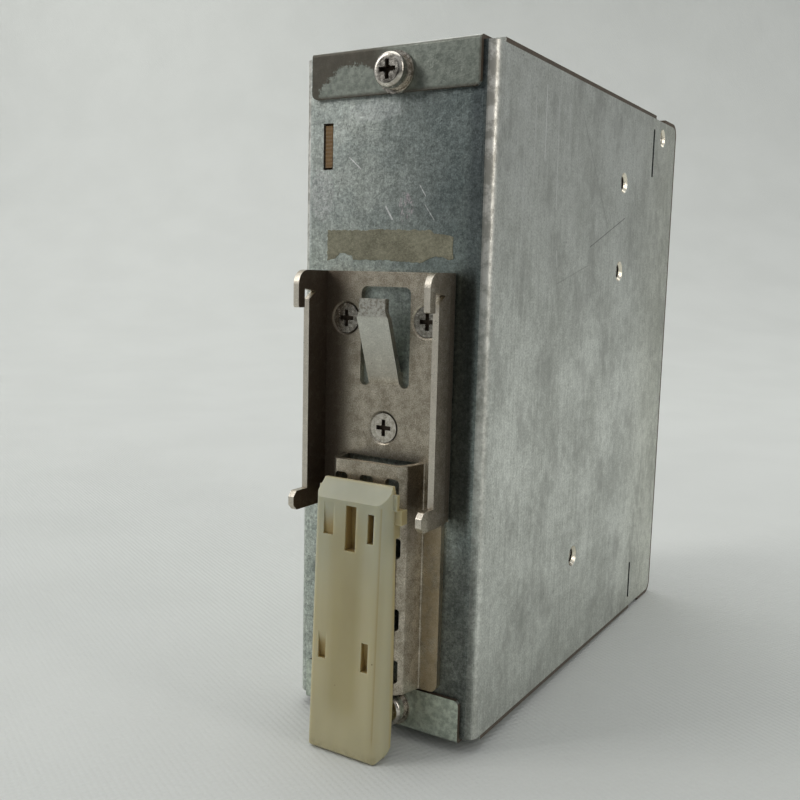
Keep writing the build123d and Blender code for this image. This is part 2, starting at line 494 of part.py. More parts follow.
# transformer: core, bobbin on its middle leg, winding
TY0, TY1, TZ0, TZ1 = -46.0, -33.0, 47.0, 79.0
core_t = bx(-12, 12, TY0, TY1, TZ0, TZ1) - bx(-8, 8, TY0 - 1, TY1 + 1, TZ0 + 5.5, TZ1 - 5.5) \
    + bx(-3.5, 3.5, TY0, TY1, TZ0 + 5.4, TZ1 - 5.4)
parts["transformer_core"] = core_t
hole = bx(-3.55, 3.55, TY0 - 0.05, TY1 + 0.05, TZ0, TZ1)
bob = bx(-4.6, 4.6, TY0 - 1.1, TY1 + 1.1, TZ0 + 5.6, TZ1 - 5.6)
for za in (TZ0 + 5.6, TZ1 - 6.6):
    bob = bob + bx(-7.9, 7.9, -50.5, -28.5, za, za + 1.0)
    for ya in (-50.5, -31.5):
        bob = bob + bx(7.0, 12.2, ya, ya + 3.0, za, za + 1.0)
bob = bob - hole + bx(12.05, PCB_X0, -50.5, -28.5, 50.0, 76.0)
parts["transformer_bobbin"] = bob
wnd = rbox(-7.6, 7.6, -49.9, -29.1, TZ0 + 6.65, TZ1 - 6.65, 1.6, Axis.Z) - bx(-4.65, 4.65, TY0 - 1.15, TY1 + 1.15, TZ0, TZ1)
parts["transformer_windings"] = wnd
# output choke: ring core with one winding
oy, oz, ox = -40.0, 96.0, PCB_X0 - 6.8
parts["output_choke_core"] = cyl("x", 9.0, ox - 4.0, ox + 4.0, oy, oz) - cyl("x", 4.5, ox - 6, ox + 6, oy, oz)
ring = cyl("x", 10.2, ox - 5.2, ox + 5.2, oy, oz) - cyl("x", 3.3, ox - 7, ox + 7, oy, oz)
ring = ring - (cyl("x", 9.02, ox - 4.02, ox + 4.02, oy, oz) - cyl("x", 4.48, ox - 6, ox + 6, oy, oz))
ow = ring - bx(ox - 7, ox + 7, oy - 2.2, oy + 2.2, oz, oz + 12)
ow = ow + bx(PCB_X0 - 2.0, PCB_X0, oy - 5.6, oy - 4.6, oz + 4.0, oz + 5.0) + bx(PCB_X0 - 2.0, PCB_X0, oy + 4.6, oy + 5.6, oz + 4.0, oz + 5.0)
parts["output_choke_winding"] = ow
oc = None
for (y, z) in ((-66.0, 110.5), (-66.0, 98.0), (-78.0, 110.5)):
    c = cyl("x", 5.0, PCB_X0 - 18.0, PCB_X0, y, z)
    c = fillet(c.edges().filter_by(GeomType.CIRCLE).sort_by(Axis.X)[:1], 0.5)
    c = c - cyl("x", 5.5, PCB_X0 - 2.6, PCB_X0 - 1.9, y, z) + cyl("x", 4.75, PCB_X0 - 2.7, PCB_X0 - 1.8, y, z)
    c = c - bx(PCB_X0 - 19, PCB_X0 - 17.8, y - 3, y + 3, z - 0.15, z + 0.15) - bx(PCB_X0 - 19, PCB_X0 - 17.8, y - 0.15, y + 0.15, z - 3, z + 3)
    oc = c if oc is None else oc + c
parts["output_capacitors"] = oc
# control board standing on the main board, with its chips
parts["control_board"] = bx(-6.0, PCB_X0, -56.8, -55.6, 47.0, 71.0)
ic = rbox(-1.0, 5.0, -58.4, -56.8, 50.0, 55.0, 0.3, Axis.Y) + rbox(-1.0, 5.0, -58.4, -56.8, 60.0, 65.0, 0.3, Axis.Y)
parts["control_chips"] = ic
parts["optocouplers"] = on_board(-70.0, -64.0, 60.0, 64.6, 3.6) + on_board(-70.0, -64.0, 52.0, 56.6, 3.6)
parts["film_capacitors"] = on_board(-24.0, -16.0, 76.0, 92.0, 11.0, 0.5) + on_board(-24.0, -16.0, 102.0, 114.0, 9.0, 0.5)
# indicator board behind the front panel: voltage trimmer and power lamp
parts["indicator_board"] = bx(-12.0, PCB_X0, -96.0, -94.4, 91.0, 103.5)
tb = rbox(TRIM_POS[0] - 3.4, TRIM_POS[0] + 3.4, -101.8, -96.0, TRIM_POS[1] - 3.4, TRIM_POS[1] + 3.4, 0.4, Axis.Y)
tb = tb - cyl("y", 1.95, -103, -98.0, *TRIM_POS)
parts["trimmer_body"] = tb
tr = cyl("y", 1.9, -105.3, -98.3, *TRIM_POS)
tr = tr - bx(TRIM_POS[0] - 1.5, TRIM_POS[0] + 1.5, -106, -104.5, TRIM_POS[1] - 0.3, TRIM_POS[1] + 0.3)
tr = tr - bx(TRIM_POS[0] - 0.3, TRIM_POS[0] + 0.3, -106, -104.5, TRIM_POS[1], TRIM_POS[1] + 1.5)
parts["trimmer_rotor"] = tr
led = cyl("y", 1.5, -105.0, -96.0, *LED_POS) + cyl("y", 1.9, -97.0, -96.0, *LED_POS)
led = led + Pos(LED_POS[0], -105.0, LED_POS[1]) * Sphere(1.5)
led = led - bx(-12, 0, -110, -106.3, 90, 105)
parts["power_lamp"] = led

# pieces of one kind share a node, each as its own solid
GROUPS = {
    "terminal_bars": ("output_terminal_bars", "input_terminal_bars"),
    "terminal_boards": ("output_terminal_board", "input_terminal_board"),
    "heat_spreaders": ("primary_heat_spreader", "secondary_heat_spreader"),
    "choke_cores": ("choke_core", "output_choke_core"),
    "choke_windings": ("choke_windings", "output_choke_winding"),
    "inner_screws": ("pcb_screws", "heatsink_screws"),
    "power_semiconductors": ("switching_transistor", "output_rectifiers"),
    "film_capacitors": ("film_capacitors", "x_capacitor"),
}
for new, olds in GROUPS.items():
    group = [s for o in olds for s in parts.pop(o).solids()]
    parts[new] = Compound(children=group)

os.makedirs("parts", exist_ok=True)
for name, shape in parts.items():
    solids = shape.solids()
    if len(solids) == 1:
        out = solids[0]
    else:
        out = Compound(children=list(solids))
    out = out.moved(Location(SHIFT))
    out.label = name
    export_step(out, "parts/%s.step" % name)
    b = out.bounding_box()
    print(name, len(solids), "vol %.2f" % shape.volume,
          "x %.2f %.2f y %.2f %.2f z %.2f %.2f" % (b.min.X, b.max.X, b.min.Y, b.max.Y, b.min.Z, b.max.Z))
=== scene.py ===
import math
import random

import bpy
import bmesh
from mathutils import Matrix, Vector


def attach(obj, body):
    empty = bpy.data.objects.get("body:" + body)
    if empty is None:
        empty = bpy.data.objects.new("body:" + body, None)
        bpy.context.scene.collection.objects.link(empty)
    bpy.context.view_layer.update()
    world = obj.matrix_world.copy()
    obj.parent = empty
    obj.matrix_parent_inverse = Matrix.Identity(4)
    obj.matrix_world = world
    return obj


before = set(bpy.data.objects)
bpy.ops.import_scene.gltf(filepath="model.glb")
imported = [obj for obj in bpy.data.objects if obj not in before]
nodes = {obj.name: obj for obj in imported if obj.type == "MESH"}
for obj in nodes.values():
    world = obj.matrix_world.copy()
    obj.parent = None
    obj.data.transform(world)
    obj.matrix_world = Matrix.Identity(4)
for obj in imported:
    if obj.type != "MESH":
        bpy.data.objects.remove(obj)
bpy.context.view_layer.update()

SEAT, MID = 6.8, 62.6      # mm: case coordinates = row coordinates + (0, SEAT, MID)


def P(x, y, z):
    """Case coordinates in mm to the row frame in metres."""
    return Vector((x / 1000, (y - SEAT) / 1000, (z - MID) / 1000))


# ------------------------------------------------------------- node helpers
class M:
    """A procedural material with short calls for its nodes. Positions are case coordinates in mm."""

    def __init__(self, name):
        self.m = bpy.data.materials.new(name)
        self.m.use_nodes = True
        self.nt = self.m.node_tree
        self.nt.nodes.clear()
        self.out = self.nt.nodes.new("ShaderNodeOutputMaterial")
        self.b = self.nt.nodes.new("ShaderNodeBsdfPrincipled")
        self.nt.links.new(self.b.outputs[0], self.out.inputs[0])
        tc = self.nt.nodes.new("ShaderNodeTexCoord")
        s = self.nt.nodes.new("ShaderNodeVectorMath")
        s.operation = "MULTIPLY_ADD"
        self.nt.links.new(tc.outputs["Object"], s.inputs[0])
        s.inputs[1].default_value = (1000, 1000, 1000)
        s.inputs[2].default_value = (0, SEAT, MID)
        self.p = s.outputs[0]
        x = self.nt.nodes.new("ShaderNodeSeparateXYZ")
        self.nt.links.new(self.p, x.inputs[0])
        self.x, self.y, self.z = x.outputs
        g = self.nt.nodes.new("ShaderNodeNewGeometry")
        n = self.nt.nodes.new("ShaderNodeSeparateXYZ")
        self.nt.links.new(g.outputs["True Normal"], n.inputs[0])
        self.nx, self.ny, self.nz = n.outputs

    def _in(self, sock, v):
        if hasattr(v, "links"):
            self.nt.links.new(v, sock)
        elif isinstance(v, (tuple, list)) and len(v) == 3 and sock.type == "RGBA":
            sock.default_value = (*v, 1)
        else:
            sock.default_value = v

    def math(self, op, a, b=0.0, c=None, clamp=False):
        n = self.nt.nodes.new("ShaderNodeMath")
        n.operation = op
        n.use_clamp = clamp
        self._in(n.inputs[0], a)
        self._in(n.inputs[1], b)
        if c is not None:
            self._in(n.inputs[2], c)
        return n.outputs[0]

    def vmath(self, op, a, b=(0, 0, 0)):
        n = self.nt.nodes.new("ShaderNodeVectorMath")
        n.operation = op
        self._in(n.inputs[0], a)
        if op == "SCALE":
            self._in(n.inputs["Scale"], b)
        else:
            self._in(n.inputs[1], b)
        return n.outputs["Value"] if op in ("LENGTH", "DOT_PRODUCT", "DISTANCE") else n.outputs[0]

    def noise(self, scale=1.0, detail=4.0, rough=0.6, stretch=None, dist=0.0, seed=0.0):
        v = self.p
        if stretch or seed:
            n = self.nt.nodes.new("ShaderNodeVectorMath")
            n.operation = "MULTIPLY_ADD"
            self._in(n.inputs[0], v)
            n.inputs[1].default_value = stretch or (1, 1, 1)
            n.inputs[2].default_value = (seed, seed * 0.7, seed * 1.3)
            v = n.outputs[0]
        t = self.nt.nodes.new("ShaderNodeTexNoise")
        self._in(t.inputs["Vector"], v)
        t.inputs["Scale"].default_value = scale
        t.inputs["Detail"].default_value = detail
        t.inputs["Roughness"].default_value = rough
        t.inputs["Distortion"].default_value = dist
        return t.outputs[0]

    def voronoi(self, scale=1.0, feature="F1", rand=1.0, out=0, smooth=None):
        t = self.nt.nodes.new("ShaderNodeTexVoronoi")
        t.feature = feature
        self._in(t.inputs["Vector"], self.p)
        t.inputs["Scale"].default_value = scale
        t.inputs["Randomness"].default_value = rand
        return t.outputs[out]

    def ramp(self, v, lo, hi, a=0.0, b=1.0, smooth=True):
        n = self.nt.nodes.new("ShaderNodeMapRange")
        n.interpolation_type = "SMOOTHSTEP" if smooth else "LINEAR"
        n.clamp = True
        self._in(n.inputs["Value"], v)
        n.inputs["From Min"].default_value = lo
        n.inputs["From Max"].default_value = hi
        n.inputs["To Min"].default_value = a
        n.inputs["To Max"].default_value = b
        return n.outputs[0]

    def mix(self, f, a, b, kind="MIX"):
        n = self.nt.nodes.new("ShaderNodeMix")
        n.data_type = "RGBA"
        n.blend_type = kind
        self._in(n.inputs[0], f)
        self._in(n.inputs[6], a)
        self._in(n.inputs[7], b)
        return n.outputs[2]

    def gain(self, col, v):
        """A colour times a value."""
        n = self.nt.nodes.new("ShaderNodeVectorMath")
        n.operation = "SCALE"
        self._in(n.inputs[0], col)
        self._in(n.inputs["Scale"], v)
        return n.outputs[0]

    def tint(self, col, t):
        n = self.nt.nodes.new("ShaderNodeVectorMath")
        n.operation = "MULTIPLY"
        self._in(n.inputs[0], col)
        n.inputs[1].default_value = t
        return n.outputs[0]

    def fmix(self, f, a, b):
        n = self.nt.nodes.new("ShaderNodeMix")
        self._in(n.inputs[0], f)
        self._in(n.inputs[2], a)
        self._in(n.inputs[3], b)
        return n.outputs[0]

    def add(self, a, b):
        return self.math("ADD", a, b)

    def mul(self, a, b):
        return self.math("MULTIPLY", a, b)

    def mx(self, *s):
        o = s[0]
        for t in s[1:]:
            o = self.math("MAXIMUM", o, t)
        return o

    def band(self, v, lo, hi, soft):
        """1 inside lo..hi with soft ends."""
        return self.mul(self.ramp(v, lo - soft, lo + soft), self.ramp(v, hi - soft, hi + soft, 1, 0))

    def seg(self, a, b, w, soft=0.6):
        """A mark along the line from a to b, w mm wide."""
        A, B = Vector(a), Vector(b)
        ab = B - A
        pa = self.vmath("SUBTRACT", self.p, tuple(A))
        t = self.math("DIVIDE", self.vmath("DOT_PRODUCT", pa, tuple(ab)), ab.length_squared, clamp=True)
        n = self.nt.nodes.new("ShaderNodeVectorMath")
        n.operation = "SCALE"
        n.inputs[0].default_value = tuple(ab)
        self._in(n.inputs["Scale"], t)
        d = self.vmath("DISTANCE", pa, n.outputs[0])
        return self.ramp(d, w * (1 - soft) / 2, w / 2 + 1e-4, 1, 0)

    def blob(self, c, r):
        """A soft ellipsoid mark: 1 at its centre, 0 at its rim."""
        n = self.nt.nodes.new("ShaderNodeVectorMath")
        n.operation = "SUBTRACT"
        self._in(n.inputs[0], self.p)
        n.inputs[1].default_value = c
        d = self.vmath("DIVIDE", n.outputs[0], r)
        return self.math("SUBTRACT", 1.0, self.vmath("LENGTH", d))

    def bump(self, h, dist=0.02, strength=1.0):
        """Height in mm."""
        n = self.nt.nodes.new("ShaderNodeBump")
        n.inputs["Strength"].default_value = strength
        n.inputs["Distance"].default_value = dist / 1000
        self._in(n.inputs["Height"], h)
        self.nt.links.new(n.outputs[0], self.b.inputs["Normal"])

    def set(self, **kw):
        names = dict(color="Base Color", metal="Metallic", rough="Roughness", sss="Subsurface Weight", radius="Subsurface Radius",
                     sscale="Subsurface Scale", coat="Coat Weight", crough="Coat Roughness", spec="Specular IOR Level", trans="Transmission Weight",
                     ior="IOR", alpha="Alpha", emit="Emission Color", estr="Emission Strength", aniso="Anisotropic", sheen="Sheen Weight")
        for k, v in kw.items():
            self._in(self.b.inputs[names[k]], v)
        return self.m


def use(mat, *names):
    for n in names:
        o = nodes[n]
        o.data.materials.clear()
        o.data.materials.append(mat)


# ---------------------------------------------------------------- materials
def galvanised(name, dark, light, contrast=1.0):
    """Zinc-coated sheet: cloudy patches, rolling lines along Z, fine speckle."""
    k = M(name)
    cloud = k.noise(0.055, 3, 0.55, seed=3)
    mott = k.noise(0.45, 5, 0.68, seed=11)
    speck = k.noise(2.4, 3, 0.75)
    lines = k.noise(1.0, 3, 0.65, stretch=(1.3, 1.3, 0.035), seed=5)
    v = k.add(k.mul(cloud, 0.42), k.add(k.mul(mott, 0.36), k.mul(lines, 0.22)))
    col = k.mix(k.ramp(v, 0.36, 0.66), dark, light)
    col = k.gain(col, k.ramp(speck, 0.30, 0.72, 1 - 0.20 * contrast, 1 + 0.24 * contrast))
    # dark pits and small bright glints
    vor = k.voronoi(0.5, out=0)
    gate = k.noise(0.22, 2, 0.5, seed=31)
    col = k.mix(k.mul(k.mul(k.ramp(vor, 0.02, 0.13, 1, 0), k.ramp(gate, 0.50, 0.62)), 0.6), col, (0.10, 0.09, 0.075))
    glint = k.mul(k.ramp(k.voronoi(1.1, out=0), 0.03, 0.13, 1, 0), k.ramp(gate, 0.52, 0.40))
    col = k.mix(k.mul(glint, 0.35), col, (0.85, 0.86, 0.83))
    rough = k.ramp(v, 0.38, 0.66, 0.50, 0.34)
    h = k.add(k.mul(speck, 0.8), k.add(k.mul(mott, 1.0), k.mul(lines, 0.3)))
    return k, col, rough, h, v, mott, lines, cloud


def cut_edge(k, seed=0.0):
    return k.mix(k.noise(0.9, 3, 0.6, seed=seed), (0.035, 0.022, 0.012), (0.15, 0.10, 0.06))


def chassis_mat():
    k, col, rough, h, v, mott, lines, cloud = galvanised("galvanised_sheet", (0.48, 0.495, 0.455), (0.76, 0.78, 0.73))
    rear = k.ramp(k.ny, 0.45, 0.9)
    side = k.ramp(k.math("ABSOLUTE", k.nx), 0.6, 0.95)
    # painted shade: the rear wall is tinted bluer and darker than the sides, and darker still toward -X, less so low
    # down
    rear_shade = k.ramp(k.add(k.x, k.mul(v, 10)), 18, -10, 0, 1)
    rear_shade = k.mul(rear_shade, k.ramp(k.z, 10, 95, 0.55, 1.0))
    col = k.mix(rear, col, k.mix(rear_shade, k.tint(col, (0.80, 0.845, 0.825)), k.tint(col, (0.325, 0.372, 0.378))))
    blot = k.mul(rear, k.ramp(k.noise(0.16, 4, 0.6, seed=77), 0.44, 0.62))
    col = k.mix(k.mul(blot, 0.40), col, k.tint(col, (0.66, 0.70, 0.72)))
    # smears near the +X edge of the rear wall
    nn = k.noise(1.8, 4, 0.75, stretch=(1, 1, 0.6), seed=2)
    sm = k.mul(rear, k.ramp(k.add(k.blob((15.5, 0, 99.5), (5, 3, 8)), nn), 0.86, 1.02))
    col = k.mix(k.mul(k.mul(sm, 0.45), k.ramp(k.noise(2.2, 3, 0.8, seed=93), 0.42, 0.58)), col, (0.80, 0.80, 0.78))
    sm2 = k.mul(rear, k.ramp(k.add(k.blob((3.5, 0, 114.2), (9, 3, 3.2)), nn), 0.80, 1.05))
    col = k.mix(k.mul(sm2, 0.22), col, (0.75, 0.78, 0.76))
    # dull grey smudges on the sides
    smu = k.mul(side, k.ramp(k.noise(0.11, 4, 0.7, stretch=(1, 1, 0.6), seed=63), 0.50, 0.66))
    col = k.mix(k.mul(smu, 0.38), col, (0.31, 0.315, 0.29))
    tan = k.mul(side, k.ramp(k.y, -70, -104, 0, 1))
    col = k.mix(k.mul(tan, 0.35), col, k.tint(col, (1.0, 0.97, 0.86)))
    # fields of fine upright scratches high on the sides
    fine = k.noise(1.0, 2, 0.6, stretch=(4.5, 4.5, 0.06), seed=9)
    fld = k.mul(k.mul(k.ramp(fine, 0.60, 0.72), side), k.mul(k.ramp(k.z, 70, 108), k.ramp(cloud, 0.42, 0.56)))
    col = k.mix(k.mul(fld, 0.5), col, (0.86, 0.87, 0.84))
    light = k.mx(k.seg((9.3, 0, 106.2), (6.8, 0, 104.1), 0.28), k.seg((1.2, 0, 97.2), (-0.2, 0, 95.0), 0.42),
                 k.seg((-5.8, 0, 100.9), (-7.1, 0, 98.9), 0.16), k.mul(k.seg((-7.0, 0, 97.4), (-8.9, 0, 94.8), 0.2), 0.7))
    marks = [(-16.8, 118.0, -16.8, 101.1, 0.3, 0.8), (-21.6, 120.6, -21.7, 107.0, 0.45, 1.0), (-27.6, 118.9, -28.1, 98.3, 0.35, 0.9), (-33.3, 118.9, -33.3, 110.3, 0.3, 0.8),
             (-12.5, 112.0, -12.7, 92.0, 0.22, 0.5), (-39.0, 121.0, -39.2, 103.0, 0.2, 0.5), (-24.5, 96.0, -24.8, 74.0, 0.22, 0.4), (-29.4, 90.5, -29.9, 87.4, 0.4, 0.9)]
    for (y0, z0, y1, z1, w, q) in marks:
        light = k.mx(light, k.mul(k.seg((-20, y0, z0), (-20, y1, z1), w), q))
    rng = random.Random(7)
    for s in (-1, 1):
        for i in range(7):
            y0, z0 = -rng.uniform(8, 98), rng.uniform(12, 118)
            a = rng.uniform(-1.4, 1.4)
            ln = rng.uniform(3, 14)
            light = k.mx(light, k.mul(k.seg((20 * s, y0, z0), (20 * s, y0 + ln * math.sin(a), z0 + ln * math.cos(a)), rng.uniform(0.12, 0.26)), rng.uniform(0.2, 0.5)))
    col = k.mix(k.mul(light, 0.85), col, (0.93, 0.94, 0.91))
    pink = k.mul(k.ramp(k.blob((-3.1, 0, 97.0), (1.7, 4, 3.2)), 0.0, 0.3), k.ramp(k.noise(1.5, 3, 0.8, stretch=(1.4, 1, 0.7), seed=8), 0.50, 0.60))
    col = k.mix(k.mul(k.mul(pink, rear), 0.6), col, (0.75, 0.62, 0.66))
    dark = k.mx(k.mul(k.seg((-20, -47.6, 91.9), (-20, -69.3, 99.3), 0.34), 0.75), k.mul(k.seg((11.8, 0, 99.5), (10.4, 0, 104.9), 0.26), 0.3),
                k.mul(k.seg((10.4, 0, 104.9), (8.0, 0, 109.3), 0.26), 0.3), k.mul(k.seg((-20, -40, 118.5), (-20, -58, 96.5), 0.9), 0.22),
                k.mul(k.seg((-20, -30, 84), (-20, -47, 88), 0.3), 0.3))
    col = k.mix(dark, col, (0.13, 0.13, 0.12))
    # painted shade: the rear wall is darker low down toward -X
    low = k.mul(rear, k.ramp(k.z, 44, 30))
    col = k.mix(k.mul(low, k.ramp(k.x, 5, -8)), col, k.tint(col, (0.50, 0.485, 0.48)))
    sp2 = k.noise(1.5, 3, 0.8, seed=91)
    col = k.mix(rear, col, k.gain(col, k.ramp(sp2, 0.32, 0.70, 0.72, 1.32)))
    # painted shade: the upper rear wall is made slightly darker
    col = k.mix(k.mul(rear, k.ramp(k.z, 84, 98)), col, k.tint(col, (0.85, 0.84, 0.86)))
    # painted shade: a dark strip on the rear wall beside the -X bend, stronger toward the top
    band = k.mul(rear, k.mul(k.band(k.x, -18.2, -15.6, 1.0), k.ramp(k.z, 125, 20, 0.75, 0.25)))
    col = k.mix(k.mul(band, 0.8), col, k.tint(col, (0.42, 0.42, 0.47)))
    # painted shadow of the bracket's -X wing on the rear wall
    near = k.mul(rear, k.mul(k.band(k.x, -17.5, -13.6, 0.6), k.band(k.z, 40, 86, 2)))
    col = k.mix(k.mul(near, 0.75), col, k.tint(col, (0.22, 0.20, 0.17)))
    # painted highlight along the rear bends, brightest near the top; the bends also get a lower roughness
    bend_highlight = k.mul(k.band(k.math("ABSOLUTE", k.nx), 0.30, 0.93, 0.12), k.ramp(k.y, -2.6, -2.0))
    col = k.mix(k.mul(bend_highlight, k.mul(k.ramp(k.z, 75, 108, 0.5, 0.95), k.ramp(k.z, 30, 60, 0.2, 1.0))), col, k.mix(k.ramp(mott, 0.4, 0.6), (0.50, 0.48, 0.42), (0.93, 0.90, 0.82)))
    # drawn collars: walls painted bright on one side and dark on the other (painted light and shade), with painted
    # shade in the bores
    col_m = None
    for (y, z, r) in ((-67.5, 107.1, 2.45), (-67.3, 87.1, 2.45), (-46.4, 24.5, 2.45), (-95.0, 120.6, 2.3)):
        d = k.blob((-20, y, z), (6, r, r))
        d = k.ramp(d, 0.0, 0.12)
        col_m = d if col_m is None else k.mx(col_m, d)
    inside = k.mul(col_m, k.ramp(k.math("ABSOLUTE", k.x), 19.97, 19.9))
    col = k.mix(inside, col, k.mix(k.ramp(k.ny, 0.25, -0.3), (0.90, 0.84, 0.70), (0.16, 0.12, 0.075)))
    bore_shade = k.mul(col_m, k.ramp(k.math("ABSOLUTE", k.x), 19.40, 19.22))
    col = k.mix(bore_shade, col, (0.035, 0.025, 0.015))
    # cut edges
    edge = k.mx(k.ramp(k.math("ABSOLUTE", k.nz), 0.7, 0.9), k.ramp(k.ny, -0.7, -0.9))
    edge = k.mul(edge, k.math("SUBTRACT", 1.0, inside))
    col = k.mix(k.mul(edge, 0.9), col, cut_edge(k))
    k.bump(h, 0.045)
    rough = k.fmix(inside, rough, 0.22)
    rough = k.fmix(k.mul(bend_highlight, 0.6), rough, 0.26)
    rough = k.fmix(edge, rough, 0.75)
    return k.set(color=col, metal=k.fmix(edge, 0.93, 0.15), rough=rough)


def cover_mat():
    k, col, rough, h, v, mott, lines, cloud = galvanised("galvanised_cover", (0.36, 0.375, 0.34), (0.60, 0.62, 0.57))
    flange = k.ramp(k.y, -0.05, 0.02)
    upper = k.ramp(k.z, 100, 101)
    fz = k.mul(flange, k.ramp(k.ny, 0.5, 0.9))
    # painted light: the lower flange face is made 2.2 times brighter and the upper 0.73 times as bright
    flange_light_gain = k.ramp(k.z, 60, 61, 2.2, 0.73)
    col = k.mix(k.mul(fz, 0.9), col, k.gain(k.mix(k.ramp(k.noise(0.9, 4, 0.7, seed=4), 0.35, 0.65), (0.18, 0.205, 0.175), (0.31, 0.34, 0.295)), flange_light_gain))
    # brown stain on the upper rear flange, with a bare patch, and painted shade as a dark rim along the flange's edges
    bare = k.mx(k.blob((8.3, 0.8, 119.2), (5.6, 5, 3.4)), k.mx(k.blob((12.6, 0.8, 118.0), (3.4, 5, 2.0)), k.blob((4.6, 0.8, 117.9), (3.0, 5, 2.0))))
    n = k.noise(1.7, 5, 0.75, seed=6)
    stain_and_rim_shade = k.ramp(k.add(bare, k.mul(k.math("SUBTRACT", n, 0.5), 1.3)), -0.02, 0.14, 1, 0)
    stain_and_rim_shade = k.mul(stain_and_rim_shade, k.ramp(k.add(k.x, k.mul(n, 3)), -0.5, 6.0))
    rim_shade = k.mx(k.ramp(k.add(k.z, k.mul(n, 0.8)), 124.6, 125.5), k.ramp(k.add(k.math("ABSOLUTE", k.x), k.mul(n, 0.5)), 17.1, 17.7))
    rim_shade = k.mx(rim_shade, k.ramp(k.add(k.z, k.mul(n, -0.5)), 117.3, 116.75))
    stain_and_rim_shade = k.mx(stain_and_rim_shade, k.mul(rim_shade, 0.75))
    stain_and_rim_shade = k.mul(k.mul(stain_and_rim_shade, fz), upper)
    brown = k.mix(k.noise(0.9, 4, 0.65, seed=14), (0.035, 0.029, 0.020), (0.105, 0.09, 0.066))
    col = k.mix(k.mul(stain_and_rim_shade, 0.92), col, brown)
    low = k.mul(k.mul(fz, k.math("SUBTRACT", 1.0, upper)), k.ramp(n, 0.5, 0.72))
    col = k.mix(k.mul(low, 0.3), col, (0.13, 0.12, 0.09))
    edge = k.mx(k.ramp(k.math("ABSOLUTE", k.nx), 0.8, 0.95), k.ramp(k.ny, -0.7, -0.9))
    edge = k.mx(edge, k.mul(k.mul(flange, k.ramp(k.math("ABSOLUTE", k.nz), 0.8, 0.95)), k.band(k.z, 5, 120, 1)))
    col = k.mix(k.mul(edge, 0.92), col, cut_edge(k, 3))
    k.bump(h, 0.04)
    dull = k.mx(edge, k.mul(stain_and_rim_shade, 0.9))
    return k.set(color=col, metal=k.fmix(dull, 0.93, 0.5), rough=k.fmix(dull, rough, 0.5))


def front_mat():
    k, col, rough, h, v, mott, lines, cloud = galvanised("galvanised_front", (0.40, 0.415, 0.385), (0.64, 0.66, 0.615))
    edge = k.mul(k.ramp(k.math("ABSOLUTE", k.nx), 0.8, 0.95), k.ramp(k.math("ABSOLUTE", k.x), 19.8, 19.95))
    edge = k.mx(edge, k.mul(k.ramp(k.ny, 0.7, 0.9), k.ramp(k.y, -97.5, -97.0)))
    col = k.mix(k.mul(edge, 0.92), col, cut_edge(k, 5))
    light = None
    rng = random.Random(17)
    for i in range(8):
        x0, z0, a, ln = rng.uniform(-16, 16), rng.uniform(20, 105), rng.uniform(-1.5, 1.5), rng.uniform(2, 9)
        s = k.mul(k.seg((x0, -106.5, z0), (x0 + ln * math.sin(a), -106.5, z0 + ln * math.cos(a)), rng.uniform(0.12, 0.25)), 0.5)
        light = s if light is None else k.mx(light, s)
    col = k.mix(light, col, (0.9, 0.91, 0.88))
    k.bump(h, 0.04)
    return k.set(color=col, metal=k.fmix(edge, 0.93, 0.2), rough=k.fmix(edge, rough, 0.7))


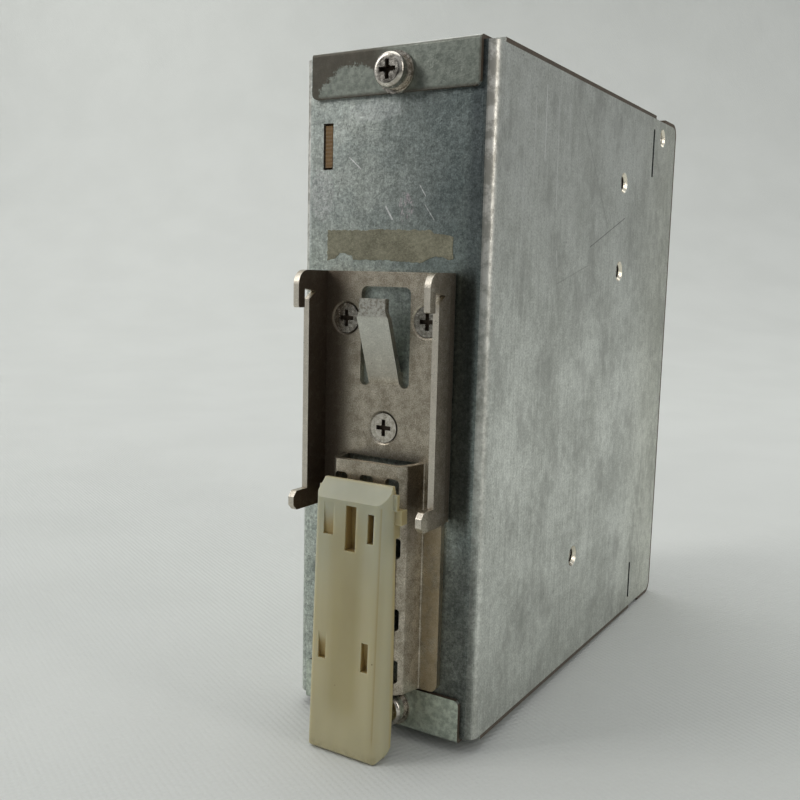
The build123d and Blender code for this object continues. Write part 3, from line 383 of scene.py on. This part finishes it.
def nickel_mat():
    k = M("nickel_plate")
    grain = k.noise(3.4, 4, 0.8)
    mott = k.noise(0.5, 5, 0.65, seed=5)
    v = k.add(k.mul(grain, 0.5), k.mul(mott, 0.5))
    col = k.mix(k.ramp(v, 0.36, 0.66), (0.27, 0.235, 0.178), (0.585, 0.53, 0.435))
    fine = k.noise(5.5, 2, 0.7, seed=71)
    col = k.gain(col, k.ramp(fine, 0.3, 0.7, 0.75, 1.28))
    # painted light: the tongue is painted lighter and greyer, brighter toward its top
    tongue = k.mul(k.band(k.x, -3.35, 3.35, 0.05), k.mul(k.ramp(k.y, 1.25, 1.9), k.band(k.z, 64, 82, 0.3)))
    col = k.mix(k.mul(tongue, 0.8), col, k.gain(k.mix(k.ramp(k.z, 64, 77), (0.44, 0.415, 0.355), (0.53, 0.535, 0.49)), k.ramp(grain, 0.3, 0.7, 0.88, 1.12)))
    lip = k.mul(tongue, k.mul(k.ramp(k.z, 77.2, 78.0), k.ramp(k.noise(1.6, 4, 0.7, seed=23), 0.42, 0.6)))
    col = k.mix(k.mul(lip, 0.6), col, (0.16, 0.13, 0.095))
    # painted reflection: a warm golden tone low on the wings
    golden_reflection = k.mul(k.ramp(k.math("ABSOLUTE", k.x), 9.0, 9.8), k.ramp(k.z, 44, 38))
    golden_reflection = k.mul(golden_reflection, k.ramp(k.noise(0.35, 3, 0.6, seed=41), 0.3, 0.6))
    col = k.mix(k.mul(golden_reflection, 0.6), col, (0.50, 0.40, 0.26))
    # painted shade: inner faces of the flanges, the inner corners, the open gap above the guide channel and the outer
    # face of the -X flange, with a painted shadow of the +X flange on the base beside it; roughness is also raised
    # there
    inner_flange_shade = k.mul(k.ramp(k.x, 13.0, 13.05), k.ramp(k.nx, -0.7, -0.9))
    corner_shade = k.mul(k.ramp(k.math("ABSOLUTE", k.x), 10.4, 13.0), k.mul(k.band(k.y, 1.0, 3.2, 0.5), k.band(k.z, 43, 84, 1)))
    blue = k.mul(k.ramp(k.math("ABSOLUTE", k.x), 7.2, 8.1), k.mul(k.band(k.y, 2.4, 7, 0.4), k.band(k.z, 36, 48, 3)))
    flange_shadow = k.mul(k.ramp(k.add(k.x, k.mul(mott, 3)), 7.8, 12.5), k.mul(k.band(k.y, 0.9, 1.6, 0.3), k.band(k.z, 43, 86, 1)))
    out = k.mul(k.ramp(k.x, -14.25, -14.29), k.band(k.y, 0.5, 8.8, 0.8))
    bracket_shade = k.mx(k.mx(k.mul(inner_flange_shade, 0.9), k.mul(flange_shadow, 0.85)), k.mx(k.mul(corner_shade, 0.7), k.mx(k.mul(blue, 0.45), k.mul(out, 0.45))))
    bracket_shade = k.mul(bracket_shade, k.ramp(mott, 0.25, 0.55, 0.75, 1.0))
    col = k.mix(bracket_shade, col, (0.085, 0.06, 0.042))
    # raw pressed rims pick up light along the flange fronts
    rimf = k.mul(k.mul(k.ramp(k.math("ABSOLUTE", k.x), 13.0, 13.12), k.ramp(k.ny, 0.5, 0.85)), k.ramp(k.y, 5.5, 6.2))
    col = k.mix(k.mul(rimf, 0.55), col, (0.80, 0.75, 0.66))
    sp = k.mul(k.ramp(k.voronoi(0.9, out=0), 0.02, 0.14, 1, 0), k.ramp(k.noise(0.5, 2, 0.5, seed=51), 0.5, 0.64))
    col = k.mix(k.mul(sp, 0.65), col, (0.09, 0.065, 0.045))
    k.bump(k.add(k.mul(grain, 1.0), k.mul(mott, 0.5)), 0.05)
    return k.set(color=col, metal=0.97, rough=k.fmix(bracket_shade, k.ramp(v, 0.36, 0.66, 0.40, 0.26), 0.55))


def screw_mat(name, dark, light, recess=(), front=False):
    """Plated screw. recess: (x, z, y of the head's face, radius) of each driver recess, painted dark as shade."""
    k = M(name)
    grain = k.noise(1.6, 2, 0.5)
    fine = k.noise(6.0, 2, 0.5, seed=3)
    v = k.add(k.mul(grain, 0.7), k.mul(fine, 0.3))
    col = k.mix(k.ramp(v, 0.35, 0.68), dark, light)
    dirt_and_recess_shade = k.mul(k.ramp(k.noise(0.8, 2, 0.5, seed=12), 0.58, 0.78), 0.35)
    recess_shade = None
    for (x, z, y, r) in recess:
        d = k.mul(k.ramp(k.blob((x, y, z), (r, 9, r)), 0.0, 0.08), k.ramp(k.y, y - 0.10, y - 0.45))
        recess_shade = d if recess_shade is None else k.mx(recess_shade, d)
    if front:
        # heads that face -Y: whatever lies below the face is the driver recess, painted dark as shade
        recess_shade = k.mul(k.ramp(k.y, -102.88, -102.60), 0.92)
    if recess_shade is not None:
        # random dirt patches together with the painted shade in the driver recesses
        dirt_and_recess_shade = k.mx(dirt_and_recess_shade, recess_shade)
    col = k.mix(dirt_and_recess_shade, col, (0.055, 0.038, 0.025))
    k.bump(v, 0.004)
    return k.set(color=col, metal=k.fmix(dirt_and_recess_shade, 1.0, 0.5), rough=k.fmix(dirt_and_recess_shade, k.ramp(v, 0.3, 0.7, 0.16, 0.28), 0.6))


def nylon_mat():
    k = M("natural_nylon")
    cloud = k.noise(0.10, 3, 0.5, stretch=(1, 1, 0.45), seed=2)
    flow = k.noise(1.0, 2, 0.5, stretch=(0.35, 0.35, 0.03), seed=7)
    grain = k.noise(3.0, 3, 0.6)
    top = k.ramp(k.add(k.z, k.mul(cloud, 16)), 30, 56)
    ax = k.math("ABSOLUTE", k.math("ADD", k.x, -0.6))
    mid = k.mul(k.ramp(k.add(ax, k.mul(flow, 2.5)), 6.6, 3.0), k.mul(k.ramp(k.z, 2, 9), k.ramp(k.z, 47, 38)))
    base = k.mix(top, (0.475, 0.43, 0.265), (0.425, 0.425, 0.315))
    col = k.mix(k.mul(mid, 0.75), base, k.mix(top, (0.37, 0.315, 0.16), (0.40, 0.355, 0.21)))
    col = k.gain(col, k.ramp(cloud, 0.3, 0.7, 0.92, 1.08))
    # painted light: the side faces of the slider are painted lighter
    side = k.ramp(k.math("ABSOLUTE", k.nx), 0.5, 0.9)
    col = k.mix(k.mul(side, 0.5), col, (0.50, 0.475, 0.32))
    # painted shade: pocket walls and floors are darkened to dark honey by their depth behind the face
    face = k.math("MULTIPLY_ADD", k.z, -0.04, 11.2 + 0.04 * 45)
    depth = k.math("SUBTRACT", face, k.y)
    inside = k.mul(k.ramp(depth, 0.10, 0.5), k.ramp(k.math("ABSOLUTE", k.x), 6.3, 6.5, 1, 0))
    inside = k.mul(k.mul(inside, k.ramp(k.z, 44.8, 44.4)), k.ramp(k.z, 0.5, 3.0))
    col = k.mix(k.mul(inside, 0.85), col, k.mix(grain, (0.27, 0.17, 0.045), (0.43, 0.31, 0.11)))
    # yellow where the moulding is thin, at its back and guide blocks
    back = k.ramp(k.y, 9.4, 8.4)
    col = k.mix(k.mul(back, 0.6), col, (0.50, 0.38, 0.15))
    sp = k.mul(k.ramp(k.voronoi(0.30, out=0), 0.025, 0.07, 1, 0), k.ramp(k.noise(0.3, 2, 0.5, seed=15), 0.52, 0.6))
    soil = k.mul(k.ramp(k.z, 0.2, -2.2), k.ramp(k.noise(0.9, 4, 0.7, seed=19), 0.35, 0.7))
    col = k.mix(k.mx(k.mul(sp, 0.75), k.mul(soil, 0.45)), col, (0.15, 0.10, 0.05))
    k.bump(k.add(k.mul(grain, 0.5), k.mul(flow, 0.6)), 0.02)
    return k.set(color=col, rough=k.ramp(grain, 0.3, 0.7, 0.36, 0.5), sss=0.5, radius=(1.0, 0.8, 0.45), sscale=0.0025, spec=0.4)


def plastic(name, dark, light, rough=(0.4, 0.6), grain_scale=6.0, sss=0.0, bump=0.02, coat=0.0):
    k = M(name)
    g = k.noise(grain_scale, 3, 0.65)
    c = k.noise(0.25, 3, 0.5, seed=4)
    v = k.add(k.mul(g, 0.6), k.mul(c, 0.4))
    col = k.mix(k.ramp(v, 0.35, 0.68), dark, light)
    k.bump(g, bump)
    return k.set(color=col, rough=k.ramp(g, 0.3, 0.7, *rough), sss=sss, radius=(1, 0.8, 0.5), sscale=0.001, coat=coat)


def board_mat():
    k = M("board")
    weave = k.math("MULTIPLY", k.math("SINE", k.mul(k.y, 9.0)), k.math("SINE", k.mul(k.z, 9.0)))
    n = k.noise(0.6, 4, 0.6)
    col = k.mix(k.ramp(k.add(n, k.mul(weave, 0.12)), 0.35, 0.7), (0.20, 0.115, 0.05), (0.36, 0.22, 0.10))
    edge = k.ramp(k.math("ABSOLUTE", k.nx), 0.5, 0.2)
    fib = k.noise(1.0, 3, 0.7, stretch=(9, 0.8, 0.8), seed=3)
    col = k.mix(k.mul(edge, 0.8), col, k.mix(fib, (0.05, 0.024, 0.006), (0.30, 0.165, 0.045)))
    k.bump(k.add(weave, n), 0.015)
    return k.set(color=col, rough=k.ramp(n, 0.3, 0.7, 0.35, 0.6))


def wire_mat(name, cx, cy_list, dark, light):
    """Enamelled wire wound round a ring: turns as ridges by angle about the ring's axis."""
    k = M(name)
    best = None
    for (y0, z0) in cy_list:
        dy, dz = k.math("SUBTRACT", k.y, y0), k.math("SUBTRACT", k.z, z0)
        ang = k.math("ARCTAN2", dz, dy)
        s = k.math("SINE", k.mul(ang, 58.0))
        near = k.ramp(k.math("SQRT", k.add(k.mul(dy, dy), k.mul(dz, dz))), 11.5, 12.0, 1, 0)
        s = k.mul(s, near)
        best = s if best is None else k.add(best, s)
    n = k.noise(2.0, 3, 0.6)
    col = k.mix(k.ramp(k.add(best, n), -0.6, 1.4), dark, light)
    k.bump(best, 0.35)
    return k.set(color=col, metal=0.55, rough=k.ramp(n, 0.3, 0.7, 0.22, 0.38), coat=0.4)


def metal(name, dark, light, rough=(0.25, 0.45), stretch=(1, 1, 1), scale=3.0, met=0.95):
    k = M(name)
    g = k.noise(scale, 4, 0.65, stretch=stretch, seed=2)
    c = k.noise(0.4, 3, 0.5, seed=6)
    v = k.add(k.mul(g, 0.6), k.mul(c, 0.4))
    col = k.mix(k.ramp(v, 0.35, 0.68), dark, light)
    k.bump(g, 0.02)
    return k.set(color=col, metal=met, rough=k.ramp(v, 0.35, 0.65, *rough))


def label_mat():
    """Blank rating label: pale film with a grey head band and ruled boxes, no print."""
    k = M("label_stock")
    n = k.noise(3.0, 4, 0.6)
    c = k.noise(0.15, 3, 0.5, seed=3)
    col = k.mix(k.ramp(k.add(k.mul(n, 0.4), k.mul(c, 0.6)), 0.35, 0.65), (0.60, 0.615, 0.60), (0.74, 0.755, 0.74))
    head = k.mul(k.band(k.z, 78.0, 85.5, 0.08), k.band(k.x, -15.0, 15.0, 0.08))
    col = k.mix(k.mul(head, 0.9), col, (0.10, 0.15, 0.20))
    rule = None
    for z in (74.0, 68.0, 62.0, 56.0, 44.0, 38.0, 27.5):
        b = k.mul(k.band(k.z, z - 0.14, z + 0.14, 0.05), k.band(k.x, -15.0, 15.0, 0.05))
        rule = b if rule is None else k.mx(rule, b)
    for x, z0, z1 in ((-15.0, 27.5, 74.0), (15.0, 27.5, 74.0), (3.0, 44.0, 74.0)):
        rule = k.mx(rule, k.mul(k.band(k.x, x - 0.14, x + 0.14, 0.05), k.band(k.z, z0, z1, 0.05)))
    col = k.mix(k.mul(rule, 0.8), col, (0.12, 0.13, 0.14))
    k.bump(n, 0.01)
    return k.set(color=col, rough=k.ramp(n, 0.3, 0.7, 0.35, 0.5), coat=0.15)


def can_mat():
    k = M("can_sleeve")
    n = k.noise(1.5, 3, 0.6)
    top = k.mul(k.ramp(k.nx, -0.7, -0.9), 1.0)
    col = k.mix(k.ramp(n, 0.35, 0.7), (0.018, 0.022, 0.045), (0.04, 0.05, 0.09))
    col = k.mix(top, col, (0.55, 0.56, 0.57))
    k.bump(n, 0.02)
    return k.set(color=col, metal=k.mul(top, 0.9), rough=k.ramp(n, 0.3, 0.7, 0.22, 0.34))


def tape_mat():
    k = M("tape_residue")
    big = k.noise(0.35, 4, 0.6, seed=5)
    mid = k.noise(1.4, 5, 0.7, stretch=(1.0, 1, 1.3), seed=2)
    fine = k.noise(6.0, 3, 0.7)
    v = k.add(k.mul(big, 0.3), k.add(k.mul(mid, 0.4), k.mul(fine, 0.3)))
    col = k.mix(k.ramp(v, 0.38, 0.66), (0.165, 0.155, 0.105), (0.36, 0.345, 0.25))
    crease = k.ramp(k.math("ABSOLUTE", k.math("SUBTRACT", k.noise(0.5, 3, 0.6, stretch=(0.7, 1, 2.2), dist=0.8, seed=9), 0.5)), 0.0, 0.012, 1, 0)
    crease = k.mul(crease, k.band(k.x, -4.5, 6.5, 1.5))
    col = k.mix(k.mul(crease, 0.7), col, (0.06, 0.045, 0.03))
    k.bump(k.add(k.mul(mid, 1.0), k.mul(fine, 0.5)), 0.05)
    return k.set(color=col, rough=k.ramp(v, 0.35, 0.65, 0.55, 0.75), spec=0.3)


m_ch = chassis_mat()
m_cv = cover_mat()
use(m_ch, "chassis")
use(m_cv, "top_cover", "bottom_cover")
use(front_mat(), "front_panel")
use(nickel_mat(), "din_bracket")
use(screw_mat("bright_screw", (0.42, 0.385, 0.33), (0.70, 0.66, 0.59), ((-1.0, 120.3, 4.1, 1.9), (-3.6, 4.1, 4.1, 1.9))), "cover_screws", "flat_washers", "spring_washers", "front_panel_rivets")
use(screw_mat("bracket_screw", (0.34, 0.31, 0.26), (0.66, 0.62, 0.55), ((8.7, 76.9, 1.08, 1.75), (-8.7, 76.9, 1.08, 1.75), (0.0, 57.0, 1.08, 1.75))), "bracket_screws")
use(nylon_mat(), "latch_slider")
m_bd = board_mat()
use(m_bd, "main_pcb", "terminal_boards", "control_board", "indicator_board")
m_zn = screw_mat("zinc_screw", (0.56, 0.56, 0.54), (0.76, 0.77, 0.76))
m_tm = screw_mat("terminal_screw", (0.62, 0.62, 0.60), (0.74, 0.75, 0.74), (), True)
use(m_zn, "inner_screws")
m_br = metal("brass", (0.42, 0.28, 0.09), (0.72, 0.55, 0.25))
use(m_br, "pcb_standoffs")
for n in nodes:
    if n.startswith(("output_screw", "input_screw")):
        use(m_tm, n)
    if n.startswith(("output_cage", "input_cage")):
        use(m_br, n)
use(plastic("insulating_film", (0.55, 0.52, 0.42), (0.70, 0.67, 0.56), (0.3, 0.5)), "pcb_insulator")
use(plastic("terminal_plastic", (0.018, 0.02, 0.02), (0.05, 0.052, 0.05), (0.42, 0.6)), "output_terminal_housing", "input_terminal_housing")
use(metal("tinned_copper", (0.45, 0.44, 0.40), (0.75, 0.74, 0.70)), "terminal_bars", "fuse_clips")
use(plastic("moulding_black", (0.012, 0.012, 0.014), (0.04, 0.04, 0.043), (0.45, 0.65)), "choke_base", "bridge_rectifier", "power_semiconductors", "transformer_bobbin", "control_chips")
use(metal("aluminium_plate", (0.48, 0.49, 0.50), (0.74, 0.75, 0.76), (0.28, 0.42), (0.3, 6, 0.3), 2.0), "heat_spreaders")
use(plastic("disc_green", (0.03, 0.09, 0.045), (0.07, 0.18, 0.09), (0.25, 0.4)), "thermistor")
use(plastic("disc_blue", (0.03, 0.09, 0.26), (0.06, 0.17, 0.42), (0.25, 0.4)), "varistor", "y_capacitors")
use(plastic("film_yellow", (0.50, 0.35, 0.04), (0.72, 0.54, 0.10), (0.25, 0.4), coat=0.2), "film_capacitors")
use(plastic("ferrite", (0.03, 0.03, 0.032), (0.075, 0.075, 0.08), (0.5, 0.7)), "transformer_core", "choke_cores")
use(plastic("tape_yellow", (0.52, 0.40, 0.05), (0.74, 0.60, 0.14), (0.3, 0.45)), "transformer_windings")
use(wire_mat("copper_wire", 0, ((-40.0, 16.0), (-40.0, 96.0)), (0.16, 0.05, 0.02), (0.62, 0.27, 0.10)), "choke_windings")
use(can_mat(), "bulk_capacitors", "output_capacitors")
use(plastic("pad_grey", (0.26, 0.27, 0.28), (0.40, 0.41, 0.42), (0.6, 0.8)), "thermal_pads")
use(plastic("trimmer_blue", (0.03, 0.09, 0.28), (0.06, 0.16, 0.40), (0.35, 0.5)), "trimmer_body")
use(plastic("rotor_white", (0.62, 0.62, 0.58), (0.80, 0.80, 0.76), (0.35, 0.5), sss=0.1), "trimmer_rotor", "optocouplers")
use(label_mat(), "front_label")
k = M("glass_tube")
g = k.noise(2.0, 3, 0.6)
use(k.set(color=k.mix(g, (0.80, 0.84, 0.82), (0.92, 0.94, 0.93)), rough=k.ramp(g, 0.3, 0.7, 0.02, 0.08), trans=0.85, ior=1.48), "input_fuse")
k = M("lamp_green")
g = k.noise(2.0, 3, 0.6)
use(k.set(color=k.mix(g, (0.08, 0.42, 0.10), (0.16, 0.60, 0.18)), rough=k.ramp(g, 0.3, 0.7, 0.06, 0.16), sss=0.4, radius=(0.5, 1, 0.5), sscale=0.001), "power_lamp")


# ------------------------------------------------- edge softening on CAD parts
def soften(name, width, angle=35.0, segments=2):
    o = nodes[name]
    for p in o.data.polygons:
        p.use_smooth = True
    b = o.modifiers.new("soft_edges", "BEVEL")
    b.width = width / 1000
    b.segments = segments
    b.limit_method = "ANGLE"
    b.angle_limit = math.radians(angle)
    b.harden_normals = True
    b.use_clamp_overlap = True
    w = o.modifiers.new("normals", "WEIGHTED_NORMAL")
    w.keep_sharp = True
    w.weight = 80


# ------------------------------------------------------- tape residue piece
def tape():
    pts = [(14.1, 93.1), (7.5, 93.1), (6.4, 92.9), (4.5, 93.2), (-8.5, 93.0), (-9.0, 92.4), (-10.5, 92.3), (-12.1, 92.1), (-12.9, 91.9), (-12.8, 90.7), (-13.0, 87.9),
           (-12.0, 87.9), (-10.7, 88.4), (-9.0, 88.4), (-7.5, 87.8), (-6.6, 87.3), (2.9, 87.7), (8.1, 87.6), (8.5, 88.3), (10.0, 88.8), (11.2, 88.8), (12.3, 87.9), (13.1, 87.7), (14.1, 87.5)]
    rng = random.Random(3)
    out = []
    for i, a in enumerate(pts):
        b = pts[(i + 1) % len(pts)]
        n = max(1, int(math.dist(a, b) / 0.45))
        for j in range(n):
            t = j / n
            out.append((a[0] + (b[0] - a[0]) * t + rng.uniform(-0.09, 0.09), a[1] + (b[1] - a[1]) * t + rng.uniform(-0.11, 0.11)))
    bm = bmesh.new()
    lo = [bm.verts.new(P(x, 0.015, z)) for x, z in out]
    hi = [bm.verts.new(P(x + 0.03 * (1 if x < 0 else -1), 0.075, z + 0.03 * (1 if z < 90 else -1))) for x, z in out]
    bm.faces.new(hi)
    bm.faces.new(list(reversed(lo)))
    for i in range(len(out)):
        j = (i + 1) % len(out)
        bm.faces.new((lo[i], lo[j], hi[j], hi[i]))
    bmesh.ops.recalc_face_normals(bm, faces=bm.faces)
    bmesh.ops.triangulate(bm, faces=bm.faces)
    me = bpy.data.meshes.new("tape_residue")
    bm.to_mesh(me)
    bm.free()
    o = bpy.data.objects.new("tape_residue", me)
    bpy.context.scene.collection.objects.link(o)
    me.materials.append(tape_mat())
    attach(o, "case")
    return o


tape()

# ------------------------------------------------------------ floor, backdrop
TILT = math.atan2(2.2, 119.0)
fl_u = Vector((1, 0, 0))
fl_v = Vector((0, math.cos(TILT), -math.sin(TILT)))
fl_n = fl_u.cross(fl_v)
base = P(0, 12.5, -2.25)


def floor_pt(u, v, h=0.0):
    return base + fl_u * u + fl_v * v + fl_n * h


def make_floor():
    bm = bmesh.new()
    # a sweep: flat table, then a gentle rise far behind the object as the camera sees it
    prof = []
    for i in range(40):
        prof.append((-0.9 + 1.4 * i / 39, 0.0))
    d2 = Vector((0.5184, -0.8449)).normalized()   # horizontal view direction
    side = Vector((-d2.y, d2.x))
    rows = []
    for s in [x * 0.1 for x in range(-14, 15)]:
        row = []
        for t, h in [(-1.2, 0), (-0.6, 0), (-0.2, 0), (0.2, 0), (0.5, 0), (0.62, 0.008), (0.74, 0.03), (0.86, 0.075), (0.97, 0.15), (1.05, 0.26), (1.10, 0.42), (1.12, 0.65), (1.12, 1.3)]:
            q = d2 * t + side * s
            row.append(bm.verts.new(floor_pt(q.x, q.y, h)))
        rows.append(row)
    for a, b in zip(rows, rows[1:]):
        for i in range(len(a) - 1):
            bm.faces.new((a[i], a[i + 1], b[i + 1], b[i]))
    bmesh.ops.recalc_face_normals(bm, faces=bm.faces)
    me = bpy.data.meshes.new("floor_sweep")
    bm.to_mesh(me)
    bm.free()
    for p in me.polygons:
        p.use_smooth = True
    o = bpy.data.objects.new("floor_sweep", me)
    bpy.context.scene.collection.objects.link(o)
    k = M("floor_cloth")
    u = k.mul(k.x, 1.0)
    dots = k.mul(k.math("SINE", k.mul(k.add(k.x, k.mul(k.y, 0.35)), 3.6)), k.math("SINE", k.mul(k.add(k.y, k.mul(k.x, -0.35)), 3.6)))
    n = k.noise(0.02, 3, 0.5)
    col = k.mix(k.ramp(k.add(n, k.mul(dots, 0.05)), 0.3, 0.7), (0.622, 0.637, 0.612), (0.645, 0.660, 0.635))
    k.bump(k.add(k.mul(dots, 0.5), k.noise(2.5, 3, 0.6)), 0.09)
    me.materials.append(k.set(color=col, rough=k.ramp(n, 0.3, 0.7, 0.75, 0.9), spec=0.2))


make_floor()


# ------------------------------------------------------------------- lights
def area(name, loc, target, size, power, color=(1, 1, 1), size_y=None):
    ld = bpy.data.lights.new(name, "AREA")
    ld.energy = power
    ld.color = color
    ld.size = size
    if size_y:
        ld.shape = "RECTANGLE"
        ld.size_y = size_y
    o = bpy.data.objects.new(name, ld)
    bpy.context.scene.collection.objects.link(o)
    o.location = loc
    d = (Vector(target) - Vector(loc)).normalized()
    o.rotation_euler = d.to_track_quat("-Z", "Y").to_euler()
    return o


cam_d = Vector((0.51838463, -0.84487733, -0.13213507)).normalized()
cam_up = Vector((0.09001338, -0.09974871, 0.99093279))
cam_r = cam_d.cross(cam_up).normalized()
cam_up = cam_r.cross(cam_d).normalized()
mid = P(0, -45, 62)


def rel(r, u, d):
    """A point given to the right of, above and toward the camera from the object's middle, in metres."""
    return mid + cam_r * r + cam_up * u - cam_d * d


area("key", mid + Vector((0.62, 0.58, 0.55)) * 0.85, mid, 0.26, 1.9, (1.0, 0.985, 0.955), 0.40)
area("top", rel(-0.10, 0.75, -0.10), mid, 0.7, 2.6, (1.0, 1.0, 0.99))
area("fill", rel(0.60, 0.25, 0.45), mid, 0.16, 0.9, (1.0, 0.97, 0.92), 0.6)
area("back", rel(-0.45, 0.75, -0.45), rel(-0.55, 0.45, -1.1), 0.5, 2.2, (1.0, 1.0, 0.98))
area("backr", rel(0.55, 0.55, -0.25), rel(0.55, -0.1, -1.0), 0.5, 1.5, (1.0, 1.0, 0.98))

w = bpy.data.worlds.new("studio")
bpy.context.scene.world = w
w.use_nodes = True
nt = w.node_tree
bg = nt.nodes["Background"]
tc = nt.nodes.new("ShaderNodeTexCoord")


def wnode(kind, op, a, b=None, c=None):
    n = nt.nodes.new(kind)
    n.operation = op
    for i, v in enumerate((a, b, c)):
        if v is None:
            continue
        if hasattr(v, "links"):
            nt.links.new(v, n.inputs[i])
        else:
            n.inputs[i].default_value = v
    return n.outputs["Value"] if op == "DOT_PRODUCT" or kind == "ShaderNodeMath" else n.outputs[0]


def lobe(direction, inner, outer):
    """1 inside `inner` degrees of a direction, 0 past `outer`."""
    d = Vector(direction).normalized()
    t = wnode("ShaderNodeVectorMath", "DOT_PRODUCT", tc.outputs["Generated"], tuple(d))
    m = nt.nodes.new("ShaderNodeMapRange")
    m.interpolation_type = "SMOOTHSTEP"
    nt.links.new(t, m.inputs["Value"])
    m.inputs["From Min"].default_value = math.cos(math.radians(outer))
    m.inputs["From Max"].default_value = math.cos(math.radians(inner))
    return m.outputs[0]


up_l = lobe((0, 0, 1), 20, 110)
behind = lobe((0.22, 0.97, -0.10), 12, 44)     # the room behind the camera is darker
left = lobe((0.92, 0.36, 0.10), 8, 40)
strength = wnode("ShaderNodeMath", "MULTIPLY_ADD", up_l, 0.24, 0.20)
strength = wnode("ShaderNodeMath", "MULTIPLY_ADD", left, 0.35, strength)
cutb = wnode("ShaderNodeMath", "MULTIPLY_ADD", behind, -0.86, 1.0)
strength = wnode("ShaderNodeMath", "MULTIPLY", strength, cutb)
nt.links.new(strength, bg.inputs["Strength"])
bg.inputs["Color"].default_value = (0.95, 0.975, 1.0, 1)

# ------------------------------------------------------------------- camera
cd = bpy.data.cameras.new("cam")
cam = bpy.data.objects.new("cam", cd)
bpy.context.scene.collection.objects.link(cam)
cd.sensor_width = 36.0
cd.lens = 42.373
cd.clip_start = 0.01
cd.clip_end = 20
rot = Matrix((cam_r, cam_up, -cam_d)).transposed()
cam.matrix_world = Matrix.Translation(P(-92.3046, 145.8682, 85.1635)) @ rot.to_4x4()
bpy.context.scene.camera = cam

bpy.context.scene.view_settings.view_transform = "Standard"
bpy.context.scene.view_settings.look = "None"

for n, wd in (("chassis", 0.10), ("top_cover", 0.12), ("bottom_cover", 0.12), ("front_panel", 0.12), ("din_bracket", 0.16), ("latch_slider", 0.2),
              ("cover_screws", 0.08), ("bracket_screws", 0.06), ("flat_washers", 0.08), ("spring_washers", 0.08)):
    soften(n, wd)
